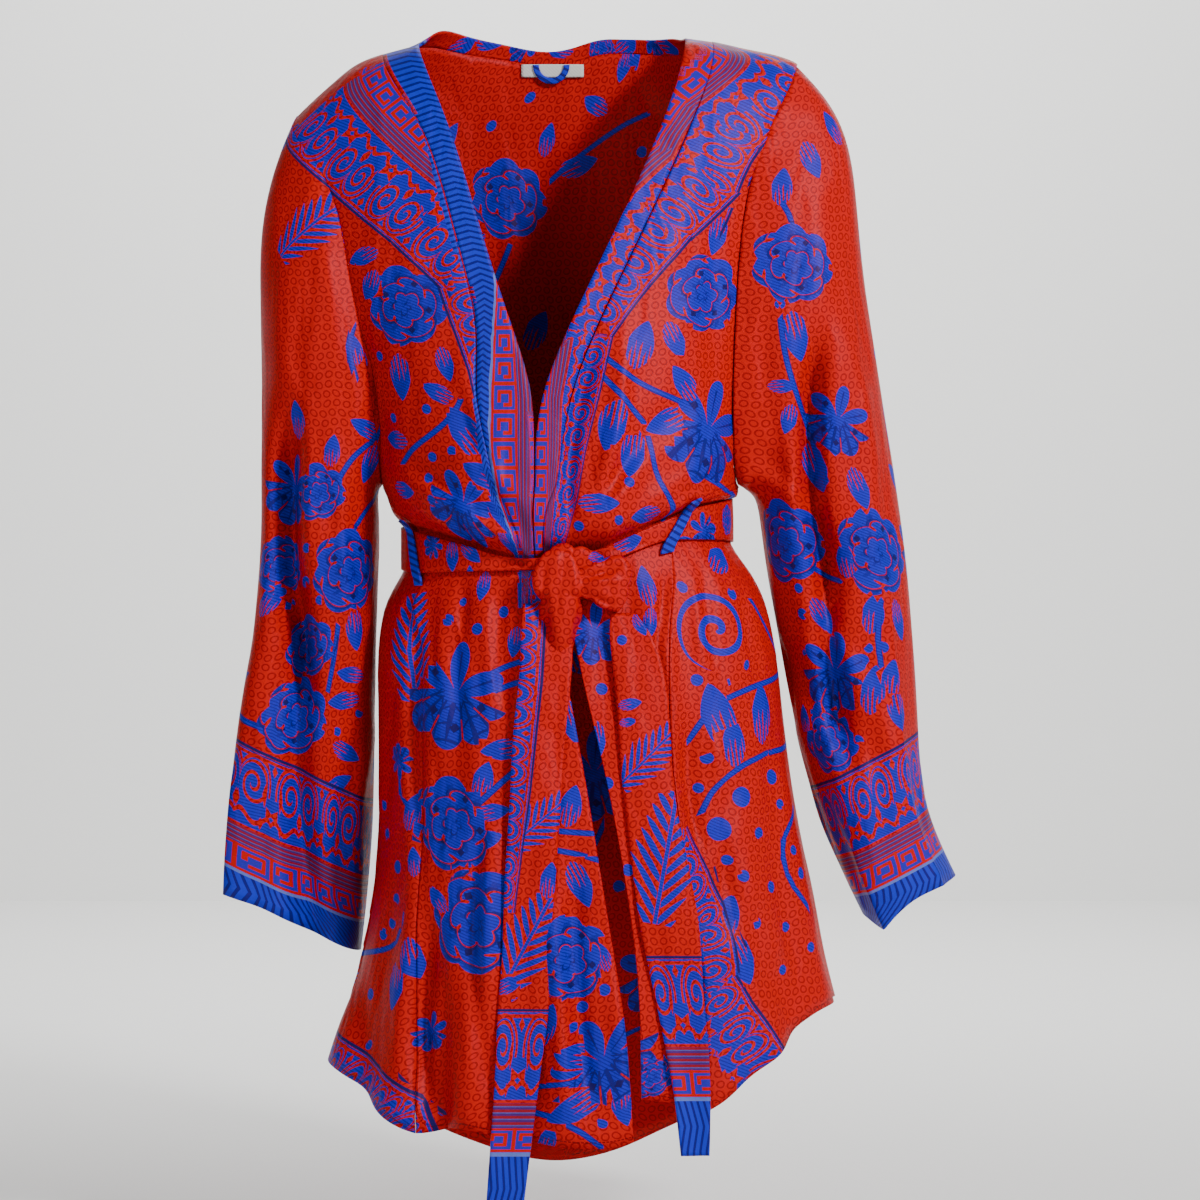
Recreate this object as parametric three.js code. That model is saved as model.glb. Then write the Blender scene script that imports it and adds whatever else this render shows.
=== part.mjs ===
// A short wrap robe of printed silk, filled out as if worn, with its own tie belt knotted in front.
// Millimetres, +Z up. The front faces -Y and +X is the wearer's left. The origin is on the centre
// line, at the height of the inner ends of the shoulders, where the wearer holds the robe up.

import * as THREE from "three";

// driving sizes of the cloth and the trimmings
const CLOTH_WALL = 1.6;
const SEAM_GAP = 0.7;
const UNDERARM_GAP = 2.6;
const UNDERARM_Z = -337;
const SECTION_SQUARENESS = 2.3;
const BELT_WALL = 2.2;
const BELT_CLEARANCE = 3.2;
const BELT_EDGE_MARGIN = 2;
const LOOP_WIDTH = 9;
const LOOP_WALL = 1.6;
const LABEL_WIDTH = 48;
const LABEL_DROP = 9;
const TAPE_WALL = 1;
const HANGER_RADIUS = 12;
const HANGER_TAPE = 4;
const TAIL_CLEARANCE = 1.3;

const COLOURS = { silk: 0xc8140c, border: 0x2a3cb0, tape: 0xd9d4cf };

// A level runs down the robe: 0 at the shoulder seam, 1 at the underarm, 2 and 3 at the belt's
// upper and lower edge, 4 at the hem. Each row is one section: how far it has dropped from the
// shoulder to the underarm, its centre line, its ends at the wearer's right and left, and its
// depth to the front and to the back.
const SECTIONS = [
  { level: 0.00, drop: 0.000, centre: -10, right: -222, left: 200, front: 0.5, back: 0.5 },
  { level: 0.10, drop: 0.024, centre: -10, right: -232, left: 206, front: 30, back: 32 },
  { level: 0.20, drop: 0.095, centre: -9, right: -228, left: 203, front: 52, back: 54 },
  { level: 0.35, drop: 0.206, centre: -8, right: -212, left: 180, front: 70, back: 68 },
  { level: 0.50, drop: 0.345, centre: -6, right: -195, left: 161, front: 84, back: 80 },
  { level: 0.65, drop: 0.500, centre: -4, right: -181, left: 150, front: 96, back: 88 },
  { level: 0.80, drop: 0.700, centre: -2, right: -160, left: 141, front: 108, back: 95 },
  { level: 0.90, drop: 0.850, centre: -1, right: -147, left: 136, front: 114, back: 98 },
  { level: 1.00, drop: 1.000, centre: 0, right: -135, left: 133, front: 117, back: 99 },
  { level: 1.50, drop: 1, centre: 2, right: -130, left: 132, front: 119, back: 100 },
  { level: 1.82, drop: 1, centre: 4, right: -125, left: 130, front: 111, back: 93 },
  { level: 2.00, drop: 1, centre: 5, right: -117, left: 125, front: 93, back: 82 },
  { level: 3.00, drop: 1, centre: 5, right: -117, left: 125, front: 93, back: 82 },
  { level: 3.07, drop: 1, centre: 7, right: -135, left: 146, front: 99, back: 91 },
  { level: 3.18, drop: 1, centre: 8, right: -139, left: 159, front: 108, back: 103 },
  { level: 3.45, drop: 1, centre: 11, right: -138, left: 170, front: 121, back: 118 },
  { level: 3.63, drop: 1, centre: 12, right: -141, left: 180, front: 127, back: 126 },
  { level: 3.76, drop: 1, centre: 14, right: -149, left: 190, front: 131, back: 131 },
  { level: 3.89, drop: 1, centre: 16, right: -162, left: 197, front: 135, back: 136 },
  { level: 4.00, drop: 1, centre: 17, right: -174, left: 207, front: 139, back: 141 },
];

// height of the shoulder line across the robe; the back rises towards the nape
const SHOULDER = [
  { x: -230, front: -88, back: -88 },
  { x: -199, front: -53.5, back: -53.5 },
  { x: -172, front: -28.5, back: -28.5 },
  { x: -156, front: -16, back: -16 },
  { x: -136, front: -8, back: -8 },
  { x: -100, front: 1, back: 20 },
  { x: -55, front: 4, back: 50 },
  { x: 0, front: 5, back: 60 },
  { x: 55, front: 5, back: 50 },
  { x: 90, front: 4, back: 20 },
  { x: 114, front: 1.5, back: 1.5 },
  { x: 139, front: -4, back: -4 },
  { x: 166, front: -10, back: -10 },
  { x: 181, front: -18, back: -18 },
  { x: 215, front: -60, back: -60 },
];

// An angle goes round the robe: 0 at the front, 90 at the wearer's left, 180 at the back,
// 270 at the wearer's right. These are the heights of the belt's edges and of the hem.
const BELT_LINE = [
  { angle: -95, top: -364, bottom: -398 },
  { angle: -62, top: -369, bottom: -404 },
  { angle: -50, top: -373, bottom: -404 },
  { angle: -35, top: -379, bottom: -403 },
  { angle: -12, top: -390, bottom: -402 },
  { angle: 8, top: -384, bottom: -398 },
  { angle: 20, top: -372, bottom: -388 },
  { angle: 36, top: -359, bottom: -379 },
  { angle: 52, top: -350, bottom: -379 },
  { angle: 90, top: -345, bottom: -380 },
  { angle: 130, top: -346, bottom: -381 },
  { angle: 180, top: -352, bottom: -386 },
  { angle: 235, top: -360, bottom: -394 },
  { angle: 265, top: -364, bottom: -398 },
  { angle: 298, top: -369, bottom: -404 },
  { angle: 310, top: -373, bottom: -404 },
];
const HEM_RIGHT_FRONT = [
  { angle: -80, z: -766 },
  { angle: -60, z: -780 },
  { angle: -46, z: -800 },
  { angle: -36, z: -809 },
  { angle: -25, z: -803 },
  { angle: -10, z: -812 },
  { angle: 2, z: -816 },
  { angle: 14, z: -806 },
];
const HEM_LEFT_FRONT = [
  { angle: 4, z: -779 },
  { angle: 16, z: -784 },
  { angle: 25, z: -791 },
  { angle: 32, z: -778 },
  { angle: 43, z: -756 },
  { angle: 60, z: -727 },
];
const HEM_BACK = [
  ...HEM_LEFT_FRONT,
  { angle: 80, z: -721 },
  { angle: 95, z: -724 },
  { angle: 108, z: -731 },
  { angle: 125, z: -750 },
  { angle: 138, z: -789 },
  { angle: 150, z: -822 },
  { angle: 165, z: -846 },
  { angle: 182, z: -872 },
  { angle: 210, z: -846 },
  { angle: 240, z: -800 },
  { angle: 262, z: -768 },
  ...HEM_RIGHT_FRONT.slice(0, 6).map(({ angle, z }) => ({ angle: angle + 360, z })),
];

// Where the pieces end, as angles at each level: the armholes down to the underarm and the side
// seams from there, then the free edge of each front and the seam between it and its neckband.
const ARMHOLES = [
  { level: 0.00, right: -62, left: 62, backLeft: 118, backRight: 242 },
  { level: 0.20, right: -57, left: 55, backLeft: 125, backRight: 237 },
  { level: 0.46, right: -55, left: 56.5, backLeft: 124, backRight: 235 },
  { level: 0.68, right: -59, left: 60, backLeft: 121, backRight: 239 },
  { level: 0.85, right: -65, left: 65, backLeft: 115, backRight: 245 },
  { level: 0.93, right: -71, left: 69, backLeft: 109, backRight: 251 },
  { level: 0.97, right: -78, left: 73, backLeft: 101, backRight: 258 },
  { level: 1.00, right: -90, left: 82, backLeft: 82, backRight: 270 },
];
const SIDE_SEAMS = [
  { level: 1.00, right: -90, left: 82 },
  { level: 1.50, right: -76, left: 66 },
  { level: 2.00, right: -64, left: 42 },
  { level: 3.00, right: -58, left: 35 },
  { level: 3.15, right: -48, left: 25.5 },
  { level: 3.45, right: -47.3, left: 23 },
  { level: 3.75, right: -46, left: 27.5 },
  { level: 4.00, right: -36.5, left: 25 },
];
const FRONT_EDGES = [
  { level: 0.00, rightSeam: -33.3, rightEdge: -24.6, leftEdge: 26.5, leftSeam: 33 },
  { level: 0.20, rightSeam: -29, rightEdge: -21.2, leftEdge: 24.4, leftSeam: 31.6 },
  { level: 0.40, rightSeam: -23.4, rightEdge: -17.9, leftEdge: 22.6, leftSeam: 30.2 },
  { level: 0.60, rightSeam: -21.6, rightEdge: -14.7, leftEdge: 14.2, leftSeam: 22 },
  { level: 0.75, rightSeam: -17.2, rightEdge: -10.4, leftEdge: 3.8, leftSeam: 11 },
  { level: 0.82, rightSeam: -19.6, rightEdge: -6.6, leftEdge: -0.4, leftSeam: 5.2 },
  { level: 0.89, rightSeam: -21.4, rightEdge: -4.9, leftEdge: -4.2, leftSeam: 1.8 },
  { level: 0.95, rightSeam: -18.4, rightEdge: -5.9, leftEdge: -5.2, leftSeam: 0.2 },
  { level: 1.20, rightSeam: -15.8, rightEdge: -6.9, leftEdge: -6.2, leftSeam: -2.6 },
  { level: 1.60, rightSeam: -13.4, rightEdge: -7.9, leftEdge: -7.2, leftSeam: -4.8 },
  { level: 1.90, rightSeam: -11, rightEdge: -8.2, leftEdge: -7.4, leftSeam: -5.6 },
  { level: 2.05, rightSeam: -9, rightEdge: -8, leftEdge: -6.8, leftSeam: -6 },
  { level: 2.60, rightSeam: -5.6, rightEdge: -5, leftEdge: -3.6, leftSeam: -3 },
  { level: 3.00, rightSeam: -3.2, rightEdge: -3, leftEdge: -0.8, leftSeam: -0.8 },
  { level: 3.20, rightSeam: -0.6, rightEdge: -0.6, leftEdge: 1.6, leftSeam: 1.6 },
  { level: 3.40, rightSeam: 2.6, rightEdge: 2.6, leftEdge: 6.2, leftSeam: 6.2 },
  { level: 3.55, rightSeam: 4.8, rightEdge: 4.8, leftEdge: 9, leftSeam: 9 },
  { level: 3.76, rightSeam: 8, rightEdge: 8, leftEdge: 11.2, leftSeam: 11.2 },
  { level: 4.00, rightSeam: 8.6, rightEdge: 8.6, leftEdge: 10, leftSeam: 10 },
];
const BAND_END_LEVEL = 1.88;

// the back's neck edge: the level it starts at, and the band that stands on it
const BACK_NECK = [
  { angle: 147, level: 0, width: 20, turn: 8 },
  { angle: 150, level: 0.09, width: 18, turn: 26 },
  { angle: 155, level: 0.145, width: 15, turn: 46 },
  { angle: 164, level: 0.235, width: 12, turn: 60 },
  { angle: 171, level: 0.26, width: 11, turn: 66 },
  { angle: 180, level: 0.30, width: 10, turn: 70 },
  { angle: 187, level: 0.27, width: 11, turn: 66 },
  { angle: 193, level: 0.225, width: 13, turn: 58 },
  { angle: 201, level: 0.13, width: 17, turn: 42 },
  { angle: 208, level: 0.06, width: 23, turn: 24 },
  { angle: 213.3, level: 0, width: 27, turn: 14 },
];

// The largest folds and the gathers at the belt, each one a soft trough (minus) or ridge (plus)
// that runs down at its angle, leans by so many degrees a level, is so many degrees wide and
// goes from one depth at its upper end to another at its lower end.
const FOLDS = [
  { angle: -40, lean: 24, from: 3.58, to: 4.1, start: 0, end: -14, width: 3.2 },
  { angle: -56, lean: 22, from: 3.5, to: 4.1, start: 0, end: 4, width: 6 },
  { angle: -33, lean: 0, from: 3.02, to: 3.42, start: -5, end: 0, width: 2.4 },
  { angle: -51, lean: 9, from: 3.02, to: 3.7, start: -5, end: -3, width: 3 },
  { angle: -24, lean: 2, from: 3.3, to: 4.1, start: 0, end: 7, width: 7 },
  { angle: -12, lean: 3, from: 3.2, to: 4.1, start: 0, end: -8, width: 4.5 },
  { angle: -3, lean: 5, from: 3.3, to: 4.1, start: 0, end: 6, width: 5 },
  { angle: -68, lean: -3, from: 3.05, to: 3.6, start: 0, end: -6, width: 7 },
  { angle: -58, lean: 0, from: 3.4, to: 4.1, start: 0, end: -8, width: 5 },
  { angle: -75, lean: 0, from: 3.3, to: 4.1, start: 0, end: 6, width: 8 },
  { angle: 34, lean: -8, from: 3.02, to: 3.6, start: -5, end: -4, width: 4.2 },
  { angle: 21, lean: 0, from: 3.05, to: 3.8, start: 0, end: 7, width: 6 },
  { angle: 34, lean: 6, from: 3.3, to: 4.1, start: 0, end: -9, width: 3 },
  { angle: 44, lean: -2, from: 3.2, to: 4.1, start: 0, end: 8, width: 6 },
  { angle: 52, lean: 0, from: 3.4, to: 4.1, start: 0, end: -6, width: 3.5 },
  { angle: 66, lean: 4, from: 3.1, to: 4.1, start: 0, end: 6, width: 8 },
  { angle: 84, lean: 0, from: 3.4, to: 4.1, start: 0, end: -8, width: 6 },
  { angle: 104, lean: 2, from: 3.2, to: 4.1, start: 0, end: 9, width: 8 },
  { angle: 121, lean: 2, from: 3.1, to: 4.1, start: -3, end: -10, width: 6 },
  { angle: 139, lean: 0, from: 3.3, to: 4.1, start: 0, end: 8, width: 8 },
  { angle: 157, lean: -2, from: 3.05, to: 4.1, start: -3, end: -9, width: 6 },
  { angle: 174, lean: 0, from: 3.3, to: 4.1, start: 0, end: 10, width: 8 },
  { angle: 190, lean: 3, from: 3.1, to: 4.1, start: -2, end: -10, width: 6 },
  { angle: 208, lean: 1, from: 3.3, to: 4.1, start: 0, end: 8, width: 7 },
  { angle: 224, lean: -1, from: 3.1, to: 4.1, start: -3, end: -9, width: 6 },
  { angle: 243, lean: 0, from: 3.3, to: 4.1, start: 0, end: 8, width: 8 },
  { angle: 261, lean: 0, from: 3.2, to: 4.1, start: 0, end: -8, width: 6 },
  { angle: -43, lean: 14, from: 1.15, to: 1.95, start: 0, end: -7, width: 4 },
  { angle: -30, lean: 9, from: 1.0, to: 1.95, start: 0, end: 4, width: 5 },
  { angle: -26, lean: 5, from: 0.75, to: 1.95, start: 0, end: -5, width: 3 },
  { angle: 9, lean: -6, from: 0.7, to: 1.95, start: 0, end: -7, width: 2.6 },
  { angle: 17, lean: -6, from: 0.8, to: 1.95, start: 0, end: 5, width: 4 },
  { angle: 28, lean: -9, from: 0.85, to: 1.95, start: 0, end: -6, width: 4 },
  { angle: 45, lean: -8, from: 1.0, to: 1.95, start: 0, end: 4, width: 6 },
  { angle: 120, lean: 2, from: 0.5, to: 1.95, start: 0, end: -5, width: 6 },
  { angle: 146, lean: 3, from: 0.6, to: 1.95, start: 0, end: 5, width: 8 },
  { angle: 163, lean: 2, from: 0.7, to: 1.95, start: 0, end: -5, width: 5 },
  { angle: 181, lean: 0, from: 0.6, to: 1.95, start: 0, end: 5, width: 7 },
  { angle: 199, lean: -2, from: 0.7, to: 1.95, start: 0, end: -5, width: 5 },
  { angle: 218, lean: -3, from: 0.6, to: 1.95, start: 0, end: 5, width: 8 },
  { angle: 240, lean: -2, from: 0.5, to: 1.95, start: 0, end: -5, width: 6 },
];
const GATHERS = { count: 34, depth: 1.5, above: 1.7, below: 3.3, jitter: 2.3 };

// The sleeves hang from the armholes. Each row is one section across the arm: where its outer or
// upper end and its inner or lower end lie, and how far it reaches to the front and the back.
const RIGHT_SLEEVE = [
  { at: 0.00, outerX: -199, outerY: 0, outerZ: -55, innerX: -135, innerY: 0, innerZ: -338, front: 50, back: 50 },
  { at: 0.05, outerX: -210, outerY: 0, outerZ: -81, innerX: -138, innerY: 0, innerZ: -342, front: 54, back: 54 },
  { at: 0.11, outerX: -221, outerY: 0, outerZ: -116, innerX: -139, innerY: 0, innerZ: -348, front: 58, back: 57 },
  { at: 0.18, outerX: -228, outerY: 1, outerZ: -159, innerX: -139, innerY: 1, innerZ: -357, front: 61, back: 60 },
  { at: 0.26, outerX: -229, outerY: 2, outerZ: -209, innerX: -139, innerY: 3, innerZ: -371, front: 62, back: 61 },
  { at: 0.35, outerX: -228, outerY: 2, outerZ: -270, innerX: -139.5, innerY: 5, innerZ: -394, front: 60, back: 60 },
  { at: 0.45, outerX: -228, outerY: 2, outerZ: -331, innerX: -141.5, innerY: 8, innerZ: -426, front: 57, back: 57 },
  { at: 0.55, outerX: -229, outerY: 2, outerZ: -391, innerX: -142.5, innerY: 14, innerZ: -467, front: 54, back: 53 },
  { at: 0.66, outerX: -234, outerY: 2, outerZ: -452, innerX: -144, innerY: 22, innerZ: -512, front: 51, back: 49 },
  { at: 0.76, outerX: -245, outerY: 2, outerZ: -509, innerX: -145.5, innerY: 32, innerZ: -555, front: 49, back: 45 },
  { at: 0.86, outerX: -250, outerY: 0, outerZ: -566, innerX: -147, innerY: 42, innerZ: -602, front: 47, back: 42 },
  { at: 0.94, outerX: -253, outerY: -2, outerZ: -612, innerX: -151, innerY: 48, innerZ: -650, front: 45, back: 40 },
  { at: 1.00, outerX: -254, outerY: -2, outerZ: -645, innerX: -156, innerY: 50, innerZ: -692, front: 44, back: 40 },
];
const LEFT_SLEEVE = [
  { at: 0.00, outerX: 178, outerY: 0, outerZ: -18, innerX: 133, innerY: 0, innerZ: -338, front: 50, back: 50 },
  { at: 0.05, outerX: 200, outerY: 0, outerZ: -42, innerX: 138, innerY: 0, innerZ: -341, front: 54, back: 54 },
  { at: 0.11, outerX: 217, outerY: 0, outerZ: -74, innerX: 143, innerY: 0, innerZ: -344, front: 58, back: 57 },
  { at: 0.18, outerX: 223, outerY: 1, outerZ: -118, innerX: 147, innerY: 1, innerZ: -348, front: 61, back: 60 },
  { at: 0.26, outerX: 228, outerY: 2, outerZ: -171, innerX: 150, innerY: 2, innerZ: -357, front: 62, back: 61 },
  { at: 0.34, outerX: 236, outerY: 3, outerZ: -221, innerX: 152, innerY: 3, innerZ: -372, front: 60, back: 60 },
  { at: 0.43, outerX: 245, outerY: 4, outerZ: -278, innerX: 155, innerY: 4, innerZ: -395, front: 57, back: 57 },
  { at: 0.52, outerX: 253, outerY: 6, outerZ: -331, innerX: 160, innerY: 6, innerZ: -423, front: 54, back: 55 },
  { at: 0.61, outerX: 261, outerY: 8, outerZ: -385, innerX: 167, innerY: 8, innerZ: -460, front: 51, back: 53 },
  { at: 0.71, outerX: 268, outerY: 9, outerZ: -452, innerX: 174, innerY: 9, innerZ: -502, front: 49, back: 52 },
  { at: 0.80, outerX: 272, outerY: 10, outerZ: -513, innerX: 183, innerY: 10, innerZ: -541, front: 47, back: 50 },
  { at: 0.88, outerX: 273, outerY: 10, outerZ: -558, innerX: 194.5, innerY: 10, innerZ: -584, front: 45, back: 48 },
  { at: 0.95, outerX: 284, outerY: 10, outerZ: -598, innerX: 211, innerY: 10, innerZ: -624, front: 43, back: 46 },
  { at: 1.00, outerX: 300, outerY: 10, outerZ: -631, innerX: 229, innerY: 10, innerZ: -660, front: 42, back: 45 },
];
// the cuff's edge dips by a drop round one angle
const CUFF_DIPS = {
  right: { angle: 70, drop: -5, width: 40 },
  left: { angle: 132, drop: 16, width: 24 },
};

// sleeve folds run along the arm; an angle of 90 is the middle of the sleeve's front
const RIGHT_SLEEVE_FOLDS = [
  { angle: 52, lean: 8, from: 0.30, to: 1.05, start: -5, end: -14, width: 15 },
  { angle: 84, lean: 0, from: 0.18, to: 0.80, start: 0, end: 5, width: 13 },
  { angle: 108, lean: 10, from: 0.22, to: 1.05, start: -2, end: -6, width: 10 },
  { angle: 142, lean: 0, from: 0.40, to: 1.05, start: 0, end: 6, width: 16 },
  { angle: 232, lean: 6, from: 0.35, to: 1.05, start: -3, end: -9, width: 16 },
  { angle: 292, lean: -4, from: 0.25, to: 1.05, start: -2, end: -9, width: 16 },
  { angle: 262, lean: 0, from: 0.40, to: 1.05, start: 0, end: 6, width: 14 },
  { angle: 20, lean: 0, from: 0.55, to: 1.05, start: 0, end: 5, width: 14 },
];
const LEFT_SLEEVE_FOLDS = [
  { angle: 78, lean: 16, from: 0.28, to: 0.86, start: -5, end: -12, width: 14 },
  { angle: 48, lean: 6, from: 0.20, to: 1.05, start: 0, end: 5, width: 14 },
  { angle: 30, lean: 0, from: 0.35, to: 1.05, start: -3, end: -7, width: 12 },
  { angle: 112, lean: 8, from: 0.30, to: 1.05, start: 0, end: 7, width: 14 },
  { angle: 146, lean: 0, from: 0.45, to: 1.05, start: -2, end: -7, width: 14 },
  { angle: 238, lean: 4, from: 0.35, to: 1.05, start: -3, end: -9, width: 16 },
  { angle: 296, lean: -4, from: 0.25, to: 1.05, start: -2, end: -9, width: 16 },
  { angle: 266, lean: 0, from: 0.40, to: 1.05, start: 0, end: 6, width: 14 },
];

// the two ends of the belt below the knot: the middle of each and half its width
const RIGHT_TAIL = [
  { z: -425, x: -19, half: 8 },
  { z: -434, x: -11, half: 16.5 },
  { z: -460, x: -10, half: 18.5 },
  { z: -523, x: -15.5, half: 18.5 },
  { z: -569, x: -18, half: 18 },
  { z: -614, x: -21, half: 18 },
  { z: -682, x: -25, half: 16.5 },
  { z: -711, x: -26, half: 18 },
  { z: -770, x: -31, half: 15.5 },
  { z: -842, x: -38, half: 13.5 },
  { z: -864, x: -40, half: 13 },
];
const LEFT_TAIL = [
  { z: -432, x: 46, half: 9 },
  { z: -444, x: 50, half: 14 },
  { z: -460, x: 54.5, half: 17 },
  { z: -494, x: 59.5, half: 18.5 },
  { z: -560, x: 64, half: 18 },
  { z: -605, x: 71, half: 19.5 },
  { z: -650, x: 78, half: 21 },
  { z: -711, x: 86.5, half: 17 },
  { z: -748, x: 92, half: 14.8 },
  { z: -781, x: 95.5, half: 12.5 },
  { z: -822, x: 97.5, half: 10 },
];
const KNOT = { x: 18, y: -111.4, z: -407, width: 30, depth: 13.5, height: 22.5 };

const radians = THREE.MathUtils.degToRad;
const degrees = THREE.MathUtils.radToDeg;
const blend = THREE.MathUtils.lerp;
const ease = THREE.MathUtils.smoothstep;

// a table's row at any place between its rows, along smooth curves through them
function rowAt(table, key, place) {
  const last = table.length - 1;
  const at = THREE.MathUtils.clamp(place, table[0][key], table[last][key]);
  let i = 0;
  while (i < last - 1 && at > table[i + 1][key]) i += 1;
  const [a, b] = [table[i], table[i + 1]];
  const [before, after] = [table[Math.max(i - 1, 0)], table[Math.min(i + 2, last)]];
  const span = b[key] - a[key];
  const t = (at - a[key]) / span;
  const row = {};
  const slope = (name, from, middle, to) => {
    const turns = (middle[name] - from[name]) * (to[name] - middle[name]) <= 0;
    return turns && from !== middle && middle !== to ? 0 : ((to[name] - from[name]) / (to[key] - from[key])) * span;
  };
  for (const name of Object.keys(a)) {
    const slopeA = slope(name, before, a, b);
    const slopeB = slope(name, a, b, after);
    row[name] = (2 * t ** 3 - 3 * t ** 2 + 1) * a[name] + (t ** 3 - 2 * t ** 2 + t) * slopeA
      + (3 * t ** 2 - 2 * t ** 3) * b[name] + (t ** 3 - t ** 2) * slopeB;
  }
  return row;
}

function squared(value) {
  return Math.sign(value) * Math.abs(value) ** (2 / SECTION_SQUARENESS);
}

function turnBetween(a, b) {
  return ((((a - b + 180) % 360) + 360) % 360) - 180;
}

// how far the folds in a table move the cloth out at an angle and a place along it
function foldsAt(folds, angle, place) {
  let out = 0;
  for (const fold of folds) {
    if (place > fold.from && place < fold.to) {
      const along = (place - fold.from) / (fold.to - fold.from);
      const off = turnBetween(angle, fold.angle + fold.lean * (place - fold.from)) / fold.width;
      const ends = ease(along, 0, 0.16) * ease(1 - along, 0, 0.12);
      out += blend(fold.start, fold.end, along) * ends * Math.exp(-off * off);
    }
  }
  return out;
}

// the small gathers drawn in by the belt fade out above and below it
function gathersAt(angle, level) {
  const near = level < 2 ? ease(level, GATHERS.above, 1.95) : 1 - ease(level, 3.0, GATHERS.below);
  const held = level > 1.95 && level < 3.02 ? 0.35 : 1;
  const phase = radians(angle * GATHERS.count) + GATHERS.jitter * Math.sin(radians(angle * 5));
  return GATHERS.depth * near * held * Math.sin(phase);
}

// a point of the body's cloth at an angle and a level, moved out by a distance
function clothPoint(angle, level, hem, out = 0) {
  const section = rowAt(SECTIONS, "level", level);
  const sine = squared(Math.sin(radians(angle)));
  const cosine = squared(Math.cos(radians(angle)));
  const lift = foldsAt(FOLDS, angle, level) + gathersAt(angle, level) + out;
  const side = sine > 0 ? section.left - section.centre : section.centre - section.right;
  const deep = cosine > 0 ? section.front : section.back;
  const x = section.centre + (side + lift) * sine;
  const y = -(deep + lift) * cosine;
  const belt = rowAt(BELT_LINE, "angle", angle);
  let z;
  if (level < 1) {
    const shoulder = rowAt(SHOULDER, "x", x)[cosine > 0 ? "front" : "back"];
    z = blend(shoulder, UNDERARM_Z, section.drop);
  } else if (level < 2) {
    z = blend(UNDERARM_Z, belt.top, level - 1);
  } else if (level < 3) {
    z = blend(belt.top, belt.bottom, level - 2);
  } else {
    z = blend(belt.bottom, rowAt(hem, "angle", angle).z, level - 3);
  }
  return new THREE.Vector3(x, y, z);
}

// the way the body's cloth faces, the same for every piece that ends there
function clothFacing(angle, level, hem) {
  const above = clothPoint(angle, Math.max(level - 0.02, 0), hem);
  const below = clothPoint(angle, Math.min(level + 0.02, 4), hem);
  const across = clothPoint(angle + 0.7, level, hem).sub(clothPoint(angle - 0.7, level, hem));
  return below.sub(above).cross(across).normalize();
}

// Turns rows of middle points into one closed wall: each point is moved half the wall out and
// half in along the surface's normal, and the rims are closed. A tube's rows run all round.
// The rows go down and each one runs to the right as seen from outside. Where a piece meets its
// neighbour, the facing of its first and last column can be given.
function clothWall(name, rows, wall, colour, { tube = false, facings = [] } = {}) {
  const [down, across] = [rows.length, rows[0].length];
  const normals = rows.map((row, j) => row.map((point, i) => {
    const given = i === 0 ? facings[j]?.[0] : facings[j]?.[i === across - 1 ? 1 : 2];
    if (given) return given;
    const before = tube ? row[(i + across - 1) % across] : row[Math.max(i - 1, 0)];
    const after = tube ? row[(i + 1) % across] : row[Math.min(i + 1, across - 1)];
    const above = rows[Math.max(j - 1, 0)][i];
    const below = rows[Math.min(j + 1, down - 1)][i];
    return below.clone().sub(above).cross(after.clone().sub(before)).normalize();
  }));
  const positions = [];
  for (const half of [wall / 2, -wall / 2]) {
    rows.forEach((row, j) => row.forEach((point, i) => {
      positions.push(...point.clone().addScaledVector(normals[j][i], half).toArray());
    }));
  }
  const corner = (j, i, inner) => (inner ? down * across : 0) + j * across + (i % across);
  const indices = [];
  const quad = (a, b, c, d) => indices.push(a, b, c, a, c, d);
  const spans = tube ? across : across - 1;
  for (let i = 0; i < spans; i += 1) {
    for (let j = 0; j < down - 1; j += 1) {
      quad(corner(j, i), corner(j + 1, i), corner(j + 1, i + 1), corner(j, i + 1));
      quad(corner(j, i, true), corner(j, i + 1, true), corner(j + 1, i + 1, true), corner(j + 1, i, true));
    }
    quad(corner(0, i), corner(0, i + 1), corner(0, i + 1, true), corner(0, i, true));
    const end = down - 1;
    quad(corner(end, i, true), corner(end, i + 1, true), corner(end, i + 1), corner(end, i));
  }
  if (!tube) {
    const side = across - 1;
    for (let j = 0; j < down - 1; j += 1) {
      quad(corner(j, 0), corner(j, 0, true), corner(j + 1, 0, true), corner(j + 1, 0));
      quad(corner(j + 1, side), corner(j + 1, side, true), corner(j, side, true), corner(j, side));
    }
  }
  const geometry = new THREE.BufferGeometry();
  geometry.setAttribute("position", new THREE.Float32BufferAttribute(positions, 3));
  geometry.setIndex(indices);
  geometry.computeVertexNormals();
  const material = new THREE.MeshStandardMaterial({ color: colour, roughness: 0.45, metalness: 0 });
  const mesh = new THREE.Mesh(geometry, material);
  mesh.name = name;
  return mesh;
}

// draws one side of a grid in along its rows, to leave half the seam's gap measured across the seam
function trimSide(rows, gap, atEnd) {
  const end = atEnd ? rows[0].length - 1 : 0;
  const next = atEnd ? end - 1 : 1;
  const seam = rows.map((row) => row[end].clone());
  rows.forEach((row, j) => {
    const along = row[next].clone().sub(seam[j]);
    const crossing = [seam[j - 1], seam[j + 1]].filter(Boolean)
      .map((other) => other.clone().sub(seam[j]).normalize().cross(along.clone().normalize()).length());
    const draw = gap / 2 / Math.max(Math.min(...crossing), 0.16);
    row[end].addScaledVector(along.normalize(), draw);
  });
}

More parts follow.
